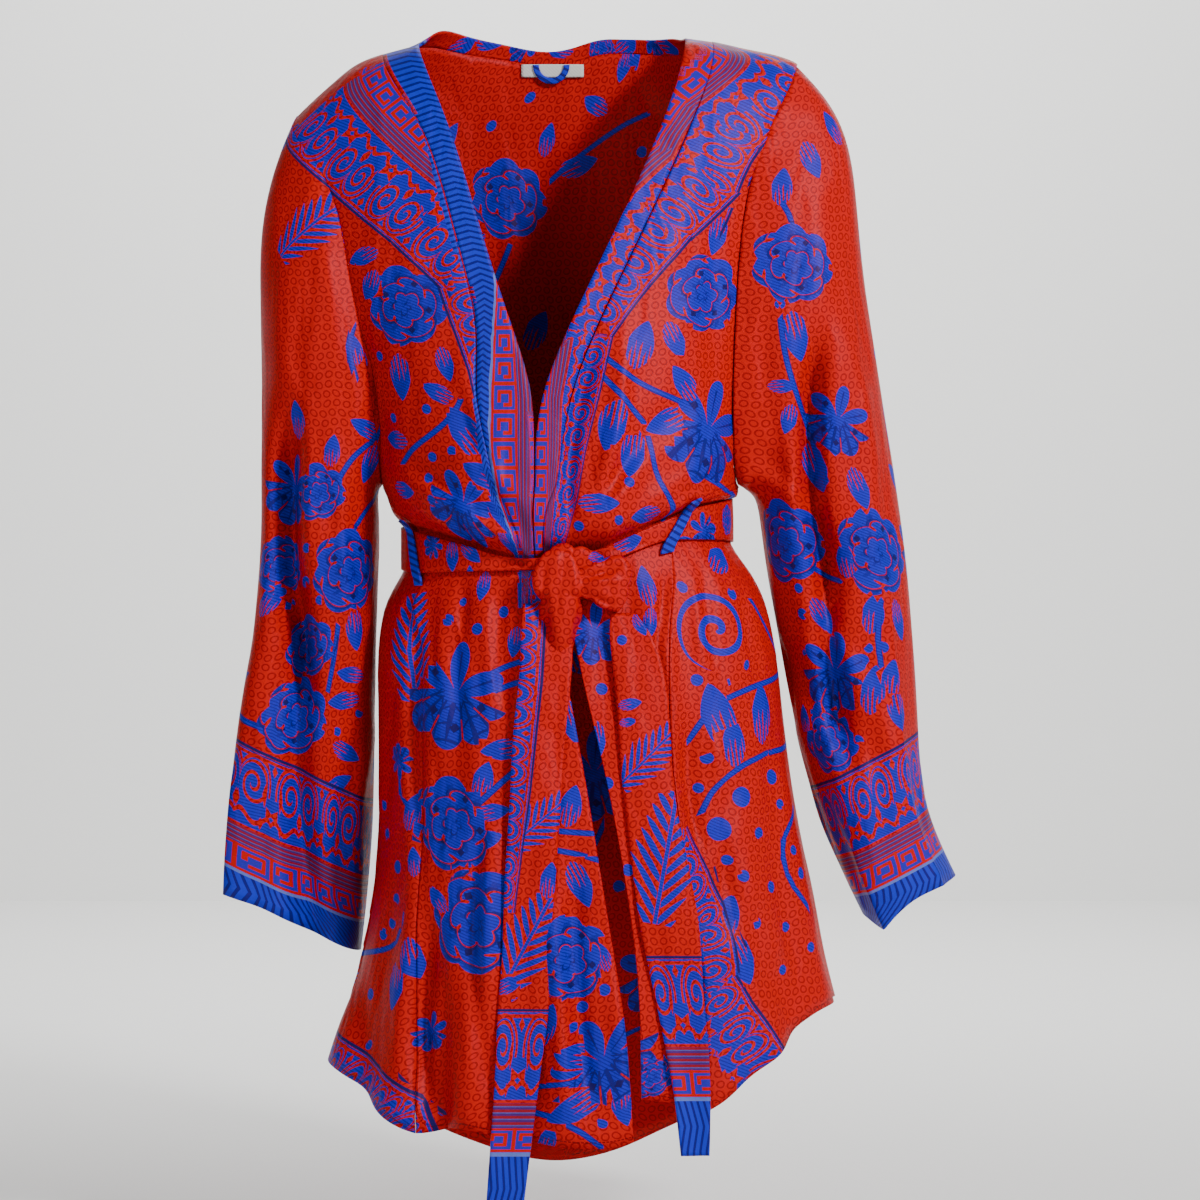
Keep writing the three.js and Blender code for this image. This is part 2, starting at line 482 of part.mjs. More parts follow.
// The rows of a sleeve's head and of the body beside it share one spacing round the armhole,
// so that the two edges have the same corners.
const ARMHOLE_STEPS = 10;
function levelAtDrop(drop) {
  let [low, high] = [0, 1];
  for (let step = 0; step < 30; step += 1) {
    const middle = (low + high) / 2;
    if (rowAt(SECTIONS, "level", middle).drop < drop) low = middle;
    else high = middle;
  }
  return (low + high) / 2;
}
const ARMHOLE_LEVELS = Array.from({ length: ARMHOLE_STEPS + 1 }, (_, step) =>
  levelAtDrop((1 - Math.cos((Math.PI * step) / ARMHOLE_STEPS)) / 2));
ARMHOLE_LEVELS[0] = 0;
ARMHOLE_LEVELS[ARMHOLE_STEPS] = 1;
const LOWER_LEVELS = [1.35, 1.65, 1.85, 2, 2.5, 3, 3.06, 3.14, 3.24, 3.36, 3.5, 3.64, 3.78, 3.9, 4];
const BODY_LEVELS = [...ARMHOLE_LEVELS, ...LOWER_LEVELS];

// a body piece is a grid between two edges given as angles at each level
function bodyPiece(name, shares, edgesAt, hem, topAt = () => 0) {
  const rows = BODY_LEVELS.map((nominal) => shares.map((share) => {
    const [from, to] = edgesAt(nominal);
    const angle = blend(from, to, share);
    const top = topAt(share);
    return clothPoint(angle, nominal < 1 ? blend(top, 1, nominal) : nominal, hem);
  }));
  trimSide(rows, SEAM_GAP, false);
  trimSide(rows, SEAM_GAP, true);
  const facings = BODY_LEVELS.map((level) => edgesAt(level).map((angle) => clothFacing(angle, level, hem)));
  return clothWall(name, rows, CLOTH_WALL, COLOURS.silk, { facings });
}

function sideEdgesAt(level) {
  if (level <= 1) return rowAt(ARMHOLES, "level", level);
  const seams = rowAt(SIDE_SEAMS, "level", level);
  return { ...seams, backLeft: seams.left, backRight: 360 + seams.right };
}

const FRONT_SHARES = Array.from({ length: 21 }, (_, i) => i / 20);

function makeFronts() {
  const right = bodyPiece("front_right", FRONT_SHARES, (level) => {
    const seam = rowAt(FRONT_EDGES, "level", level).rightSeam;
    return [sideEdgesAt(level).right, seam];
  }, HEM_RIGHT_FRONT);
  const left = bodyPiece("front_left", FRONT_SHARES, (level) => {
    const seam = rowAt(FRONT_EDGES, "level", level).leftSeam;
    return [seam, sideEdgesAt(level).left];
  }, HEM_LEFT_FRONT);
  return [right, left];
}

// The back starts at the neck edge between the shoulder seams and wraps round to the side seams.
// Its columns stand closer together where they come round to the front.
const BACK_COLUMNS = 50;
const BACK_CROWDING = 0.38;
const BACK_SHARES = Array.from({ length: BACK_COLUMNS + 1 }, (_, i) => {
  const share = i / BACK_COLUMNS;
  return share - (BACK_CROWDING * Math.sin(2 * Math.PI * share)) / (2 * Math.PI);
});
const backEdgesAt = (level) => {
  const edges = sideEdgesAt(level);
  return [edges.backLeft, edges.backRight];
};
const backAngle = (share) => blend(...backEdgesAt(0), share);
const onNeck = (angle) => angle > BACK_NECK[0].angle && angle < BACK_NECK[BACK_NECK.length - 1].angle;

function makeBack() {
  const topAt = (share) => {
    const angle = backAngle(share);
    return onNeck(angle) ? rowAt(BACK_NECK, "angle", angle).level : 0;
  };
  return bodyPiece("back", BACK_SHARES, backEdgesAt, HEM_BACK, topAt);
}

// One long strip runs up the right front, round the back of the neck and down the left front.
// On the fronts it lies between the seam and the free edge, and behind the neck it stands up.
function makeNeckband() {
  const across = [0, 0.5, 1];
  const frontLevels = BODY_LEVELS.filter((level) => level < BAND_END_LEVEL);
  const frontRow = (side, level) => {
    const edges = rowAt(FRONT_EDGES, "level", level);
    const [seam, edge] = [edges[`${side}Seam`], edges[`${side}Edge`]];
    return across.map((t) => clothPoint(blend(seam, edge, t), level, HEM_RIGHT_FRONT));
  };
  const backRow = (angle) => {
    const neck = rowAt(BACK_NECK, "angle", angle);
    const seam = clothPoint(angle, neck.level, HEM_BACK);
    const rise = new THREE.Vector3(-10 - seam.x, -seam.y * 0.8, 0).setLength(Math.cos(radians(neck.turn)));
    rise.z = Math.sin(radians(neck.turn));
    return across.map((t) => seam.clone().addScaledVector(rise, t * neck.width));
  };
  const backAngles = BACK_SHARES.map(backAngle).filter(onNeck);
  const rows = [
    ...frontLevels.map((level) => frontRow("left", level)).toReversed(),
    ...[BACK_NECK[0].angle, ...backAngles, BACK_NECK[BACK_NECK.length - 1].angle].map(backRow),
    ...frontLevels.map((level) => frontRow("right", level)),
  ];
  trimSide(rows, 2 * SEAM_GAP, false);
  return clothWall("neckband", rows, CLOTH_WALL, COLOURS.border);
}

// a point of a sleeve: its own section, drawn to the armhole's edge near the shoulder
function sleevePoint(table, folds, angle, at, out = 0) {
  const section = rowAt(table, "at", at);
  const outer = new THREE.Vector3(section.outerX, section.outerY, section.outerZ);
  const inner = new THREE.Vector3(section.innerX, section.innerY, section.innerZ);
  const cosine = Math.cos(radians(angle));
  const sine = squared(Math.sin(radians(angle)));
  const lift = foldsAt(folds, angle, at) + out;
  const reach = outer.distanceTo(inner) / 2 + lift;
  const direction = outer.clone().sub(inner).normalize();
  const point = outer.clone().add(inner).multiplyScalar(0.5).addScaledVector(direction, reach * cosine);
  point.y -= ((sine > 0 ? section.front : section.back) + lift) * sine;
  return point;
}

function armholePoint(side, step) {
  const front = step <= ARMHOLE_STEPS;
  const level = ARMHOLE_LEVELS[front ? step : 2 * ARMHOLE_STEPS - step];
  const seam = sideEdgesAt(level)[front ? side : { right: "backRight", left: "backLeft" }[side]];
  return clothPoint(seam, level, HEM_BACK);
}

function makeSleeve(name, side, table, folds) {
  const stations = [0, 0.02, 0.05, 0.09, 0.14, 0.2, 0.27, 0.34, 0.42, 0.5, 0.58, 0.66, 0.74, 0.82, 0.89, 0.95, 1];
  const headReach = 0.3;
  const steps = 2 * ARMHOLE_STEPS;
  const offsets = Array.from({ length: steps }, (_, step) => {
    const angle = (180 * step) / ARMHOLE_STEPS;
    const low = (1 - Math.cos(radians(angle))) / 2;
    const clear = blend(SEAM_GAP, UNDERARM_GAP, low * low);
    const edge = armholePoint(side, step);
    edge.x += side === "right" ? -clear : clear;
    return edge.sub(sleevePoint(table, folds, angle, 0));
  });
  const dip = CUFF_DIPS[side];
  const rows = stations.map((at) => {
    const pull = 1 - ease(at, 0, headReach);
    const row = offsets.map((offset, step) => {
      const angle = (180 * step) / ARMHOLE_STEPS;
      const point = sleevePoint(table, folds, angle, at).addScaledVector(offset, pull);
      point.z -= dip.drop * ease(at, 0.9, 1) * Math.exp(-(((angle - dip.angle) / dip.width) ** 2));
      return point;
    });
    return side === "right" ? row : row.toReversed();
  });
  return clothWall(name, rows, CLOTH_WALL, COLOURS.silk, { tube: true });
}

// the belt goes all round over the gathers, one strip that bunches behind the knot
function makeBelt() {
  const steps = 72;
  const across = [0.02, 0.35, 0.68, 0.98];
  const rows = across.map((t) => Array.from({ length: steps }, (_, i) => {
    const angle = -95 + (360 * i) / steps;
    const wrapped = angle > 265 ? angle - 360 : angle;
    const line = rowAt(BELT_LINE, "angle", wrapped);
    const point = clothPoint(wrapped, 2.5, HEM_BACK, BELT_CLEARANCE + BELT_WALL / 2);
    point.z = blend(line.top - BELT_EDGE_MARGIN, line.bottom + BELT_EDGE_MARGIN, t);
    return point;
  }));
  return clothWall("belt_waist", rows, BELT_WALL, COLOURS.silk, { tube: true });
}

// The knot is one soft lump with the fold of the wrapped end round its middle.
function makeKnot() {
  const [turns, rings] = [26, 16];
  const positions = [0, 0, 0];
  const place = (turn, ring) => {
    const [azimuth, polar] = [(2 * Math.PI * turn) / turns, (Math.PI * ring) / rings];
    const direction = new THREE.Vector3(
      Math.sin(polar) * Math.cos(azimuth), Math.sin(polar) * Math.sin(azimuth), Math.cos(polar));
    const wrap = Math.exp(-(((direction.x + 0.5 - 0.3 * direction.z) / 0.34) ** 2));
    const groove = Math.exp(-(((direction.x - 0.02 - 0.3 * direction.z) / 0.16) ** 2));
    const front = Math.max(0, -direction.y);
    const reach = 1 + front * (0.16 * wrap - 0.24 * groove);
    return [
      KNOT.x + KNOT.width * reach * squared(direction.x),
      KNOT.y + KNOT.depth * reach * squared(direction.y),
      KNOT.z + KNOT.height * squared(direction.z),
    ];
  };
  positions.splice(0, 3, ...place(0, 0));
  for (let ring = 1; ring < rings; ring += 1) {
    for (let turn = 0; turn < turns; turn += 1) positions.push(...place(turn, ring));
  }
  positions.push(...place(0, rings));
  const indices = [];
  const bottom = positions.length / 3 - 1;
  const corner = (ring, turn) => 1 + (ring - 1) * turns + (turn % turns);
  for (let turn = 0; turn < turns; turn += 1) {
    indices.push(0, corner(1, turn), corner(1, turn + 1));
    indices.push(bottom, corner(rings - 1, turn + 1), corner(rings - 1, turn));
    for (let ring = 1; ring < rings - 1; ring += 1) {
      const [a, b] = [corner(ring, turn), corner(ring + 1, turn)];
      const [c, d] = [corner(ring + 1, turn + 1), corner(ring, turn + 1)];
      indices.push(a, b, c, a, c, d);
    }
  }
  const geometry = new THREE.BufferGeometry();
  geometry.setAttribute("position", new THREE.Float32BufferAttribute(positions, 3));
  geometry.setIndex(indices);
  geometry.computeVertexNormals();
  const material = new THREE.MeshStandardMaterial({ color: COLOURS.silk, roughness: 0.45, metalness: 0 });
  const mesh = new THREE.Mesh(geometry, material);
  mesh.name = "belt_knot";
  return mesh;
}

// the angle and level at which the body's cloth passes a place seen from the front
function underPlace(x, z, hem) {
  let [angle, level] = [0, 3];
  for (let step = 0; step < 24; step += 1) {
    const section = rowAt(SECTIONS, "level", level);
    const side = x > section.centre ? section.left - section.centre : section.centre - section.right;
    const share = THREE.MathUtils.clamp((x - section.centre) / side, -1, 1);
    angle = degrees(Math.asin(Math.sign(share) * Math.abs(share) ** (SECTION_SQUARENESS / 2)));
    const belt = rowAt(BELT_LINE, "angle", angle);
    const hemZ = rowAt(hem, "angle", angle).z;
    level = 3 + (belt.bottom - z) / (belt.bottom - hemZ);
    level = Math.max(level, 2.4);
  }
  return [angle, level];
}

// how far forward the skirt stands under a strip that lies across it, its own bends evened out
function skirtFrontAt(x, z, hem) {
  let front = 0;
  for (const step of [-12, -6, 0, 6, 12]) {
    for (const along of [-12, 0, 12]) {
      const [angle, level] = underPlace(x + step, z + along, hem);
      front = Math.min(front, clothPoint(angle, Math.min(level, 4), hem).y);
    }
  }
  return front;
}

function makeTail(name, table, hem) {
  const steps = 30;
  const across = [-1, -0.33, 0.33, 1];
  const [top, bottom] = [table[0].z, table[table.length - 1].z];
  const rows = Array.from({ length: steps + 1 }, (_, j) => {
    const z = blend(top, bottom, j / steps);
    const place = rowAt(table.toReversed(), "z", z);
    const front = skirtFrontAt(place.x, z, hem) - TAIL_CLEARANCE;
    return across.map((t) => {
      const ripple = 1.4 * Math.cos(2.4 * t + z / 60);
      return new THREE.Vector3(place.x + t * place.half, front - 1.4 + ripple, z);
    });
  });
  return clothWall(name, rows, CLOTH_WALL, COLOURS.silk);
}

// Each loop is a short strip sewn to the side seam above and below the belt. Its line runs from
// one angle at the upper end to another at the lower end, and rises from the cloth over the belt.
function makeBeltLoop(name, upper, lower, hem) {
  const over = BELT_CLEARANCE + BELT_WALL + LOOP_WALL / 2 + 0.8;
  const rest = CLOTH_WALL / 2 + LOOP_WALL / 2 + 0.5;
  const profile = [
    { share: 0.00, edge: "top", rise: 5, out: rest + 3.2 },
    { share: 0.08, edge: "top", rise: 1.5, out: over + 1 },
    { share: 0.18, edge: "top", rise: -2, out: over },
    { share: 0.50, edge: "middle", rise: 0, out: over },
    { share: 0.80, edge: "bottom", rise: 2, out: over },
    { share: 0.90, edge: "bottom", rise: -2, out: over - 1.2 },
    { share: 1.00, edge: "bottom", rise: -7, out: rest + 1.8 },
  ];
  const rows = profile.map((stop) => [-0.5, 0, 0.5].map((t) => {
    const angle = blend(upper, lower, stop.share) + degrees((t * LOOP_WIDTH) / 105);
    const line = rowAt(BELT_LINE, "angle", angle);
    line.middle = (line.top + line.bottom) / 2;
    const z = line[stop.edge] + stop.rise;
    let level = 2.5;
    if (z > line.top) level = 1 + (UNDERARM_Z - z) / (UNDERARM_Z - line.top);
    if (z < line.bottom) level = 3 + (line.bottom - z) / (line.bottom - rowAt(hem, "angle", angle).z);
    const point = clothPoint(angle, level, hem, stop.out);
    point.z = z;
    return point;
  }));
  return clothWall(name, rows, LOOP_WALL, COLOURS.border);
}

// the blank label hangs inside the back neck from the band's seam, and the hanging loop is over it
function makeNeckTape() {
  const middle = rowAt(BACK_NECK, "angle", 183);
  const inside = (x, drop, out) => {
    const level = middle.level + (drop / 60) * 0.14;
    const { centre, left, back } = rowAt(SECTIONS, "level", level);
    const share = (x - centre) / (left - centre);
    const angle = 180 - degrees(Math.asin(Math.sign(share) * Math.abs(share) ** (SECTION_SQUARENESS / 2)));
    const point = clothPoint(angle, level, HEM_BACK, -out);
    const top = clothPoint(180, middle.level, HEM_BACK);
    point.x = x;
    point.z = top.z - drop;
    return point;
  };
  const rest = CLOTH_WALL / 2 + TAPE_WALL / 2 + 0.8;
  const labelRows = [1.5, 1.5 + LABEL_DROP / 2, 1.5 + LABEL_DROP].map((drop) =>
    [0.5, 0.3, 0.1, -0.1, -0.3, -0.5].map((t) => inside(-8 + t * LABEL_WIDTH, drop, rest)));
  const label = clothWall("neck_label", labelRows, TAPE_WALL, COLOURS.tape);
  const bow = [0.5, -0.5].map((edge) => Array.from({ length: 15 }, (_, i) => {
    const turn = (Math.PI * i) / 14;
    const radius = HANGER_RADIUS - edge * HANGER_TAPE;
    return inside(-9 + radius * Math.cos(turn), 2 + radius * Math.sin(turn), rest + TAPE_WALL + 0.6);
  }));
  const loop = clothWall("hanging_loop", bow, TAPE_WALL, COLOURS.border);
  return [label, loop];
}

const robe = new THREE.Group();
robe.add(makeBack());
robe.add(...makeFronts());
robe.add(makeSleeve("sleeve_right", "right", RIGHT_SLEEVE, RIGHT_SLEEVE_FOLDS));
robe.add(makeSleeve("sleeve_left", "left", LEFT_SLEEVE, LEFT_SLEEVE_FOLDS));
robe.add(makeNeckband());
robe.add(makeBelt());
robe.add(makeKnot());
robe.add(makeTail("belt_tail_right", RIGHT_TAIL, HEM_RIGHT_FRONT));
robe.add(makeTail("belt_tail_left", LEFT_TAIL, HEM_LEFT_FRONT));
robe.add(makeBeltLoop("belt_loop_right", -66, -58, HEM_RIGHT_FRONT));
robe.add(makeBeltLoop("belt_loop_left", 43, 32, HEM_LEFT_FRONT));
robe.add(...makeNeckTape());

export default robe;
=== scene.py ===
"""A short wrap robe of printed satin crepe, filled out as if worn, with its own belt knotted in front."""

import math
from functools import partialmethod

import bmesh
import bpy
import numpy as np
from mathutils import Matrix, Vector


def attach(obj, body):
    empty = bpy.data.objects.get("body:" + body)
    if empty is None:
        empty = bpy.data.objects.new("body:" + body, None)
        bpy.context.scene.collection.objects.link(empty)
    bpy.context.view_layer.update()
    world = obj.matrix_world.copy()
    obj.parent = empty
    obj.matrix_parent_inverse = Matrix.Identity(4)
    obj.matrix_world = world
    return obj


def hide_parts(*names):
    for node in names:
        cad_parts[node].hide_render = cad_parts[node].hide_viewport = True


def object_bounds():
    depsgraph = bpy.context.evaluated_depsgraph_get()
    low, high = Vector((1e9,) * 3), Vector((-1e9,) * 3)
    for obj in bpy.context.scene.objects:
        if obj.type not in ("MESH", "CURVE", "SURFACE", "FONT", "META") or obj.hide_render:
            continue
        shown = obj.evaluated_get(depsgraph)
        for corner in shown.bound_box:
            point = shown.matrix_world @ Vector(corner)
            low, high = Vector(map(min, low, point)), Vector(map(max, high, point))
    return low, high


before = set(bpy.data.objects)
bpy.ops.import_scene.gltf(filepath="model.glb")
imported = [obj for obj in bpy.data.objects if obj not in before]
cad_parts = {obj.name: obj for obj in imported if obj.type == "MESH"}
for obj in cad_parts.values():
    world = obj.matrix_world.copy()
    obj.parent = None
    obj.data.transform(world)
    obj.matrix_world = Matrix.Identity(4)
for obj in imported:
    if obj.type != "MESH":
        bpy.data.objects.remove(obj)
cad_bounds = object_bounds()


def placed(name, data):
    """A new object in the scene, made of the data."""
    made = bpy.data.objects.new(name, data)
    bpy.context.scene.collection.objects.link(made)
    return made


def mesh_of(name, form):
    """A new mesh with the form's shape. The form is given up."""
    mesh = bpy.data.meshes.new(name)
    form.to_mesh(mesh)
    form.free()
    return mesh


# The camera stands 2.6 m in front of the robe, level with its belt, as it did for the photograph.
# The floor, a backdrop and the soft studio lights are set up below.
CAMERA_PLACE = (0.0289, -2.6, -0.422)
FRAME_WIDTH = 0.912
camera_data = bpy.data.cameras.new("camera")
camera_data.sensor_width = 36.0
camera_data.lens = 36.0 * -CAMERA_PLACE[1] / FRAME_WIDTH
camera = placed("camera", camera_data)
camera.location = CAMERA_PLACE
camera.rotation_euler = (math.radians(90), 0, 0)
bpy.context.scene.camera = camera

world = bpy.data.worlds.new("studio")
bpy.context.scene.world = world
world.use_nodes = True
sky = world.node_tree.nodes["Background"]
sky.inputs["Color"].default_value = (1.0, 0.98, 0.96, 1)
sky.inputs["Strength"].default_value = 0.24


def soft_light(name, place, size, power, target=(0, 0, -0.4)):
    """A square studio light, aimed at the middle of the robe unless it has another target."""
    data = bpy.data.lights.new(name, "AREA")
    data.size = size
    data.energy = power
    light = placed(name, data)
    light.location = place
    light.rotation_euler = (Vector(target) - Vector(place)).to_track_quat("-Z", "Y").to_euler()
    return light


key_light = soft_light("key_light", (1.5, -1.9, 0.9), 0.35, 76)
fill_light = soft_light("fill_light", (-1.3, -2.3, 0.1), 1.2, 13)
back_light = soft_light("back_light", (0.6, 1.6, 1.2), 1.4, 12)
backdrop_light = soft_light("backdrop_light", (0, 1.5, 1.6), 2.0, 105, (0, 4.0, -0.4))

pale = bpy.data.materials.new("pale")
pale.use_nodes = True
pale_surface = pale.node_tree.nodes["Principled BSDF"]
pale_surface.inputs["Base Color"].default_value = (0.86, 0.86, 0.85, 1)
pale_surface.inputs["Roughness"].default_value = 0.9
PLANE_HALF_WIDTH = 6
FLOOR_DROP = 0.06
BACKDROP_PLACE = (0, 3.2, 0)


def pale_plane(name, matrix):
    """A wide pale plane of the studio, put in its place by a matrix."""
    form = bmesh.new()
    bmesh.ops.create_grid(form, x_segments=1, y_segments=1, size=PLANE_HALF_WIDTH)
    form.transform(matrix)
    mesh = mesh_of(name, form)
    mesh.materials.append(pale)
    return placed(name, mesh)


upright = Matrix.Rotation(math.radians(90), 4, "X")
floor = pale_plane("floor", Matrix.Translation((0, 0, float(cad_bounds[0][2]) - FLOOR_DROP)))
backdrop = pale_plane("backdrop", Matrix.Translation(BACKDROP_PLACE) @ upright)


# The robe's back: one piece of red satin crepe with a woven ring figure and a blue print of flowers,
# leaves and borders. Every cloth piece is a thin shell on its solid's own form, made finer, with its
# creases and print laid from listed tables. A pixel of the photo is 0.76 mm there, and less on the nearer
# front.
PIXEL = 0.00076
PRINT_PIXEL = PIXEL * 0.96
PHOTO_MIDDLE = 600
BODY_MIDDLE = 615
RED = (0.50, 0.0016, 0.0004, 1)
RED_LINE = (0.15, 0.0006, 0.0003, 1)
BLUE = (0.003, 0.014, 0.46, 1)
BLUE_LINE = (0.0015, 0.003, 0.10, 1)
VIOLET = (0.055, 0.010, 0.15, 1)
PALE = (0.10, 0.15, 0.50, 1)
RED_GLOW = (0.62, 0.010, 0.003, 1)
STRIPE_RED = (0.26, 0.006, 0.02, 1)
THREAD = (0.05, 0.001, 0.004, 1)
PLAIN_BLUE = (0.004, 0.026, 0.52, 1)
PLAIN_LINE = (0.0015, 0.005, 0.17, 1)
# The kinds of motif, and how far in from the cloth's edge the border's strips begin and end: chevron,
# key, stripes and scroll, with a pale line below the key and a dark line at the border's end.
ROSE, PEONY, LEAF, FERN, DOT, SWIRL = 1, 2, 3, 4, 5, 6
CHEVRON_END = 0.0205
KEY_START, KEY_END = 0.0225, 0.041
SCROLL_START, SCROLL_END = 0.053, 0.108
EDGE_LINE_START, EDGE_LINE_END = 0.1084, 0.1106
BORDER_END = 0.112
NO_BORDER = 0.15
SCROLL_REPEAT, KEY_REPEAT, CHEVRON_REPEAT = 0.042, 0.0205, 0.0046
# One turn as a share of radians, then how many rings, hatch lines and stripes there are in a metre.
ONCE_ROUND = 0.159
RINGS, HATCH_LINES, STRIPES = 143.0, 430.0, 330.0


class Value:
    """A shader socket that adds, multiplies and compares like a number."""

    def __init__(self, tree, socket):
        self.tree = tree
        self.socket = socket

    def node(self, kind, settings=None, outlet=0, **inputs):
        """The outlet of a new node with its settings and inputs, which are plain or other values."""
        made = self.tree.nodes.new(kind)
        for name, setting in (settings or {}).items():
            setattr(made, name, setting)
        for name, given in inputs.items():
            socket = made.inputs[int(name[1:])]
            if isinstance(given, Value):
                self.tree.links.new(given.socket, socket)
            else:
                socket.default_value = given
        return Value(self.tree, made.outputs[outlet])

    def math(self, operation, *others):
        """The outcome of a sum with this and other values."""
        inputs = {f"i{place}": other for place, other in enumerate((self, *others))}
        return self.node("ShaderNodeMath", {"operation": operation}, **inputs)

    __add__ = __radd__ = partialmethod(math, "ADD")
    __sub__ = partialmethod(math, "SUBTRACT")
    __mul__ = __rmul__ = __and__ = partialmethod(math, "MULTIPLY")
    __truediv__ = partialmethod(math, "DIVIDE")
    __lt__ = partialmethod(math, "LESS_THAN")
    __gt__ = partialmethod(math, "GREATER_THAN")
    __or__ = partialmethod(math, "MAXIMUM")
    sin = partialmethod(math, "SINE")
    cos = partialmethod(math, "COSINE")
    size = partialmethod(math, "ABSOLUTE")
    fraction = partialmethod(math, "FRACT")
    power = partialmethod(math, "POWER")

    def __rsub__(self, other):
        return (self * -1.0) + other

    def __invert__(self):
        return 1.0 - self

    def near(self, other, reach):
        """Whether this is within a reach of another value."""
        return (self - other).size() < reach

    def between(self, low, high):
        """Whether this is between two numbers."""
        return self.near((low + high) / 2, (high - low) / 2)

    def mix(self, first, second):
        """One colour where this is 0 and the other where it is 1."""
        return self.node("ShaderNodeMix", {"data_type": "RGBA"}, outlet=2, i0=self, i6=first, i7=second)


def attribute(tree, name):
    """The three parts of an attribute of the mesh."""
    source = tree.nodes.new("ShaderNodeAttribute")
    source.attribute_name = name
    parts = tree.nodes.new("ShaderNodeSeparateXYZ")
    tree.links.new(source.outputs["Vector"], parts.inputs[0])
    return [Value(tree, output) for output in parts.outputs]


def rose_print(x, y, reach, turn):
    """Rings of rounded petals inside a scalloped edge, parted by thin red lines."""
    scallop = (turn * 3.5 + 0.6).cos().size() * 0.14 + (turn * 1.5).cos().size() * 0.08
    outer = (reach - scallop) < 0.80
    bumps = (turn * 2.5 + (reach * 5.0).sin() * 1.4).cos().size()
    ring = (reach * 3.0 + turn * ONCE_ROUND - bumps * 0.34).fraction()
    rib = ((turn * 13.0 + reach * 7.0).sin() > 0.45) & (ring > 0.12) & (ring < 0.38)
    opening = ((bumps < 0.22) & (ring > 0.62) & (reach > 0.36)) | ((ring > 0.93) & (reach > 0.25))
    return outer & ~opening, (ring < 0.13) | (rib * 0.6)


def peony_print(x, y, reach, turn):
    """A flower seen from the side: a fan of ribbed petals below, and three sepals above."""
    fan_turn = (x.math("ARCTAN2", y * -1.0 + 0.1)).size()
    fan_edge = 0.78 + (fan_turn * 4.5).cos().size() * 0.2
    fan = (fan_turn < 1.35) & (reach < fan_edge)
    ribs = ((fan_turn * 18.0 + reach * 3.0).sin() > 0.45) & (reach > 0.16)
    arcs = ((reach + (fan_turn * 4.5).cos().size() * 0.12) * 3.3).fraction() < 0.15
    sepal_turn = (turn - 1.5708).size()
    sepal = (sepal_turn < 1.5) & (reach < ((sepal_turn * 3.0).cos().size().power(0.7) * 0.92))
    sepal_rib = ((sepal_turn * 3.0).sin().size() < 0.1) & (reach > 0.2) & (reach < 0.75)
    cuts = (fan_turn * 4.5).cos().size() < 0.10
    return (fan & ~(cuts & (reach > 0.45))) | sepal, (fan & (ribs | arcs)) | (sepal & sepal_rib)


def leaf_print(x, y):
    """A pointed leaf with a solid tip and a foot that breaks up into brush strokes."""
    half = (1.0 - y * y).math("MAXIMUM", 0.0).power(0.75) * (0.50 - y * 0.12)
    strokes = ((x * 5.5 + y * 0.5).fraction() < 0.42) & (y < (-0.12 + (x * 23.0).sin() * 0.28))
    return (x.size() < half) & ~strokes


def fern_print(x, y):
    """Narrow leaflets that slope up on both sides of a thin stalk."""
    share = x.size() / (0.54 - y.size() * 0.26)
    row = (y * 4.0 - x.size() * 4.6 + (x > 0.0) * 0.5).fraction() - 0.5
    leaflet = row.size() < (0.31 - (share - 0.45) * (share - 0.45) * 0.9)
    leaflet = leaflet & (share < 1.0) & (x.size() > 0.04)
    return (leaflet | (x.size() < 0.03)) & (y.size() < 1.0)


def scroll_print(along, height):
    """Mirrored pairs of curls with bows and a zigzag between; height runs from 0 to 1 across."""
    side = ((along / SCROLL_REPEAT).fraction() - 0.5).size() * 2.0
    curl_x = (side - 0.60) * 0.76
    curl_y = height - 0.60
    curl_reach = (curl_x * curl_x + curl_y * curl_y).power(0.5)
    curl_turn = curl_y.math("ARCTAN2", curl_x)
    curl = (curl_reach * 6.6 + curl_turn * ONCE_ROUND).fraction() < 0.34
    curl = curl & (curl_reach < 0.31) & (curl_reach > 0.05)
    arc = curl_reach.near(0.36, 0.028) & (height > 0.5)
    diamond = (side * 1.2 + (height - 0.86).size() * 1.6) < 0.13
    bow = (side < 0.24) & (height - 0.30).size().math("LESS_THAN", side * 0.28 + 0.02)
    drops = ((side - 0.97).size() * 1.5 + (height - 0.34).size() * 1.1) < 0.13
    drops = drops | (((side - 0.36).size() * 1.5 + (height - 0.14).size() * 1.1) < 0.09)
    zigzag = (height - 0.17 - (side * 9.4).sin() * 0.055).size() < 0.035
    leaf = ((side - 0.30).size() * 2.2 + (height - 0.52).size() * 0.9) < 0.15
    line = height.near(0.955, 0.022) | height.near(0.015, 0.02)
    return ~(curl | arc | diamond | bow | drops | zigzag | line | leaf)


def key_print(along, height):
    """A square meander between two lines; height runs from 0 to 1 across."""
    x = (along / KEY_REPEAT).fraction()
    edge = height.near(0.06, 0.05) | height.near(0.94, 0.05)
    post = x.near(0.10, 0.07) & (height > 0.06)
    top = height.near(0.72, 0.065) & (x > 0.28) & (x < 0.86)
    right = x.near(0.80, 0.07) & (height > 0.26) & (height < 0.74)
    foot = height.near(0.30, 0.065) & (x > 0.42) & (x < 0.86)
    left = x.near(0.34, 0.07) & (height > 0.46) & (height < 0.74)
    return edge | post | top | right | foot | left


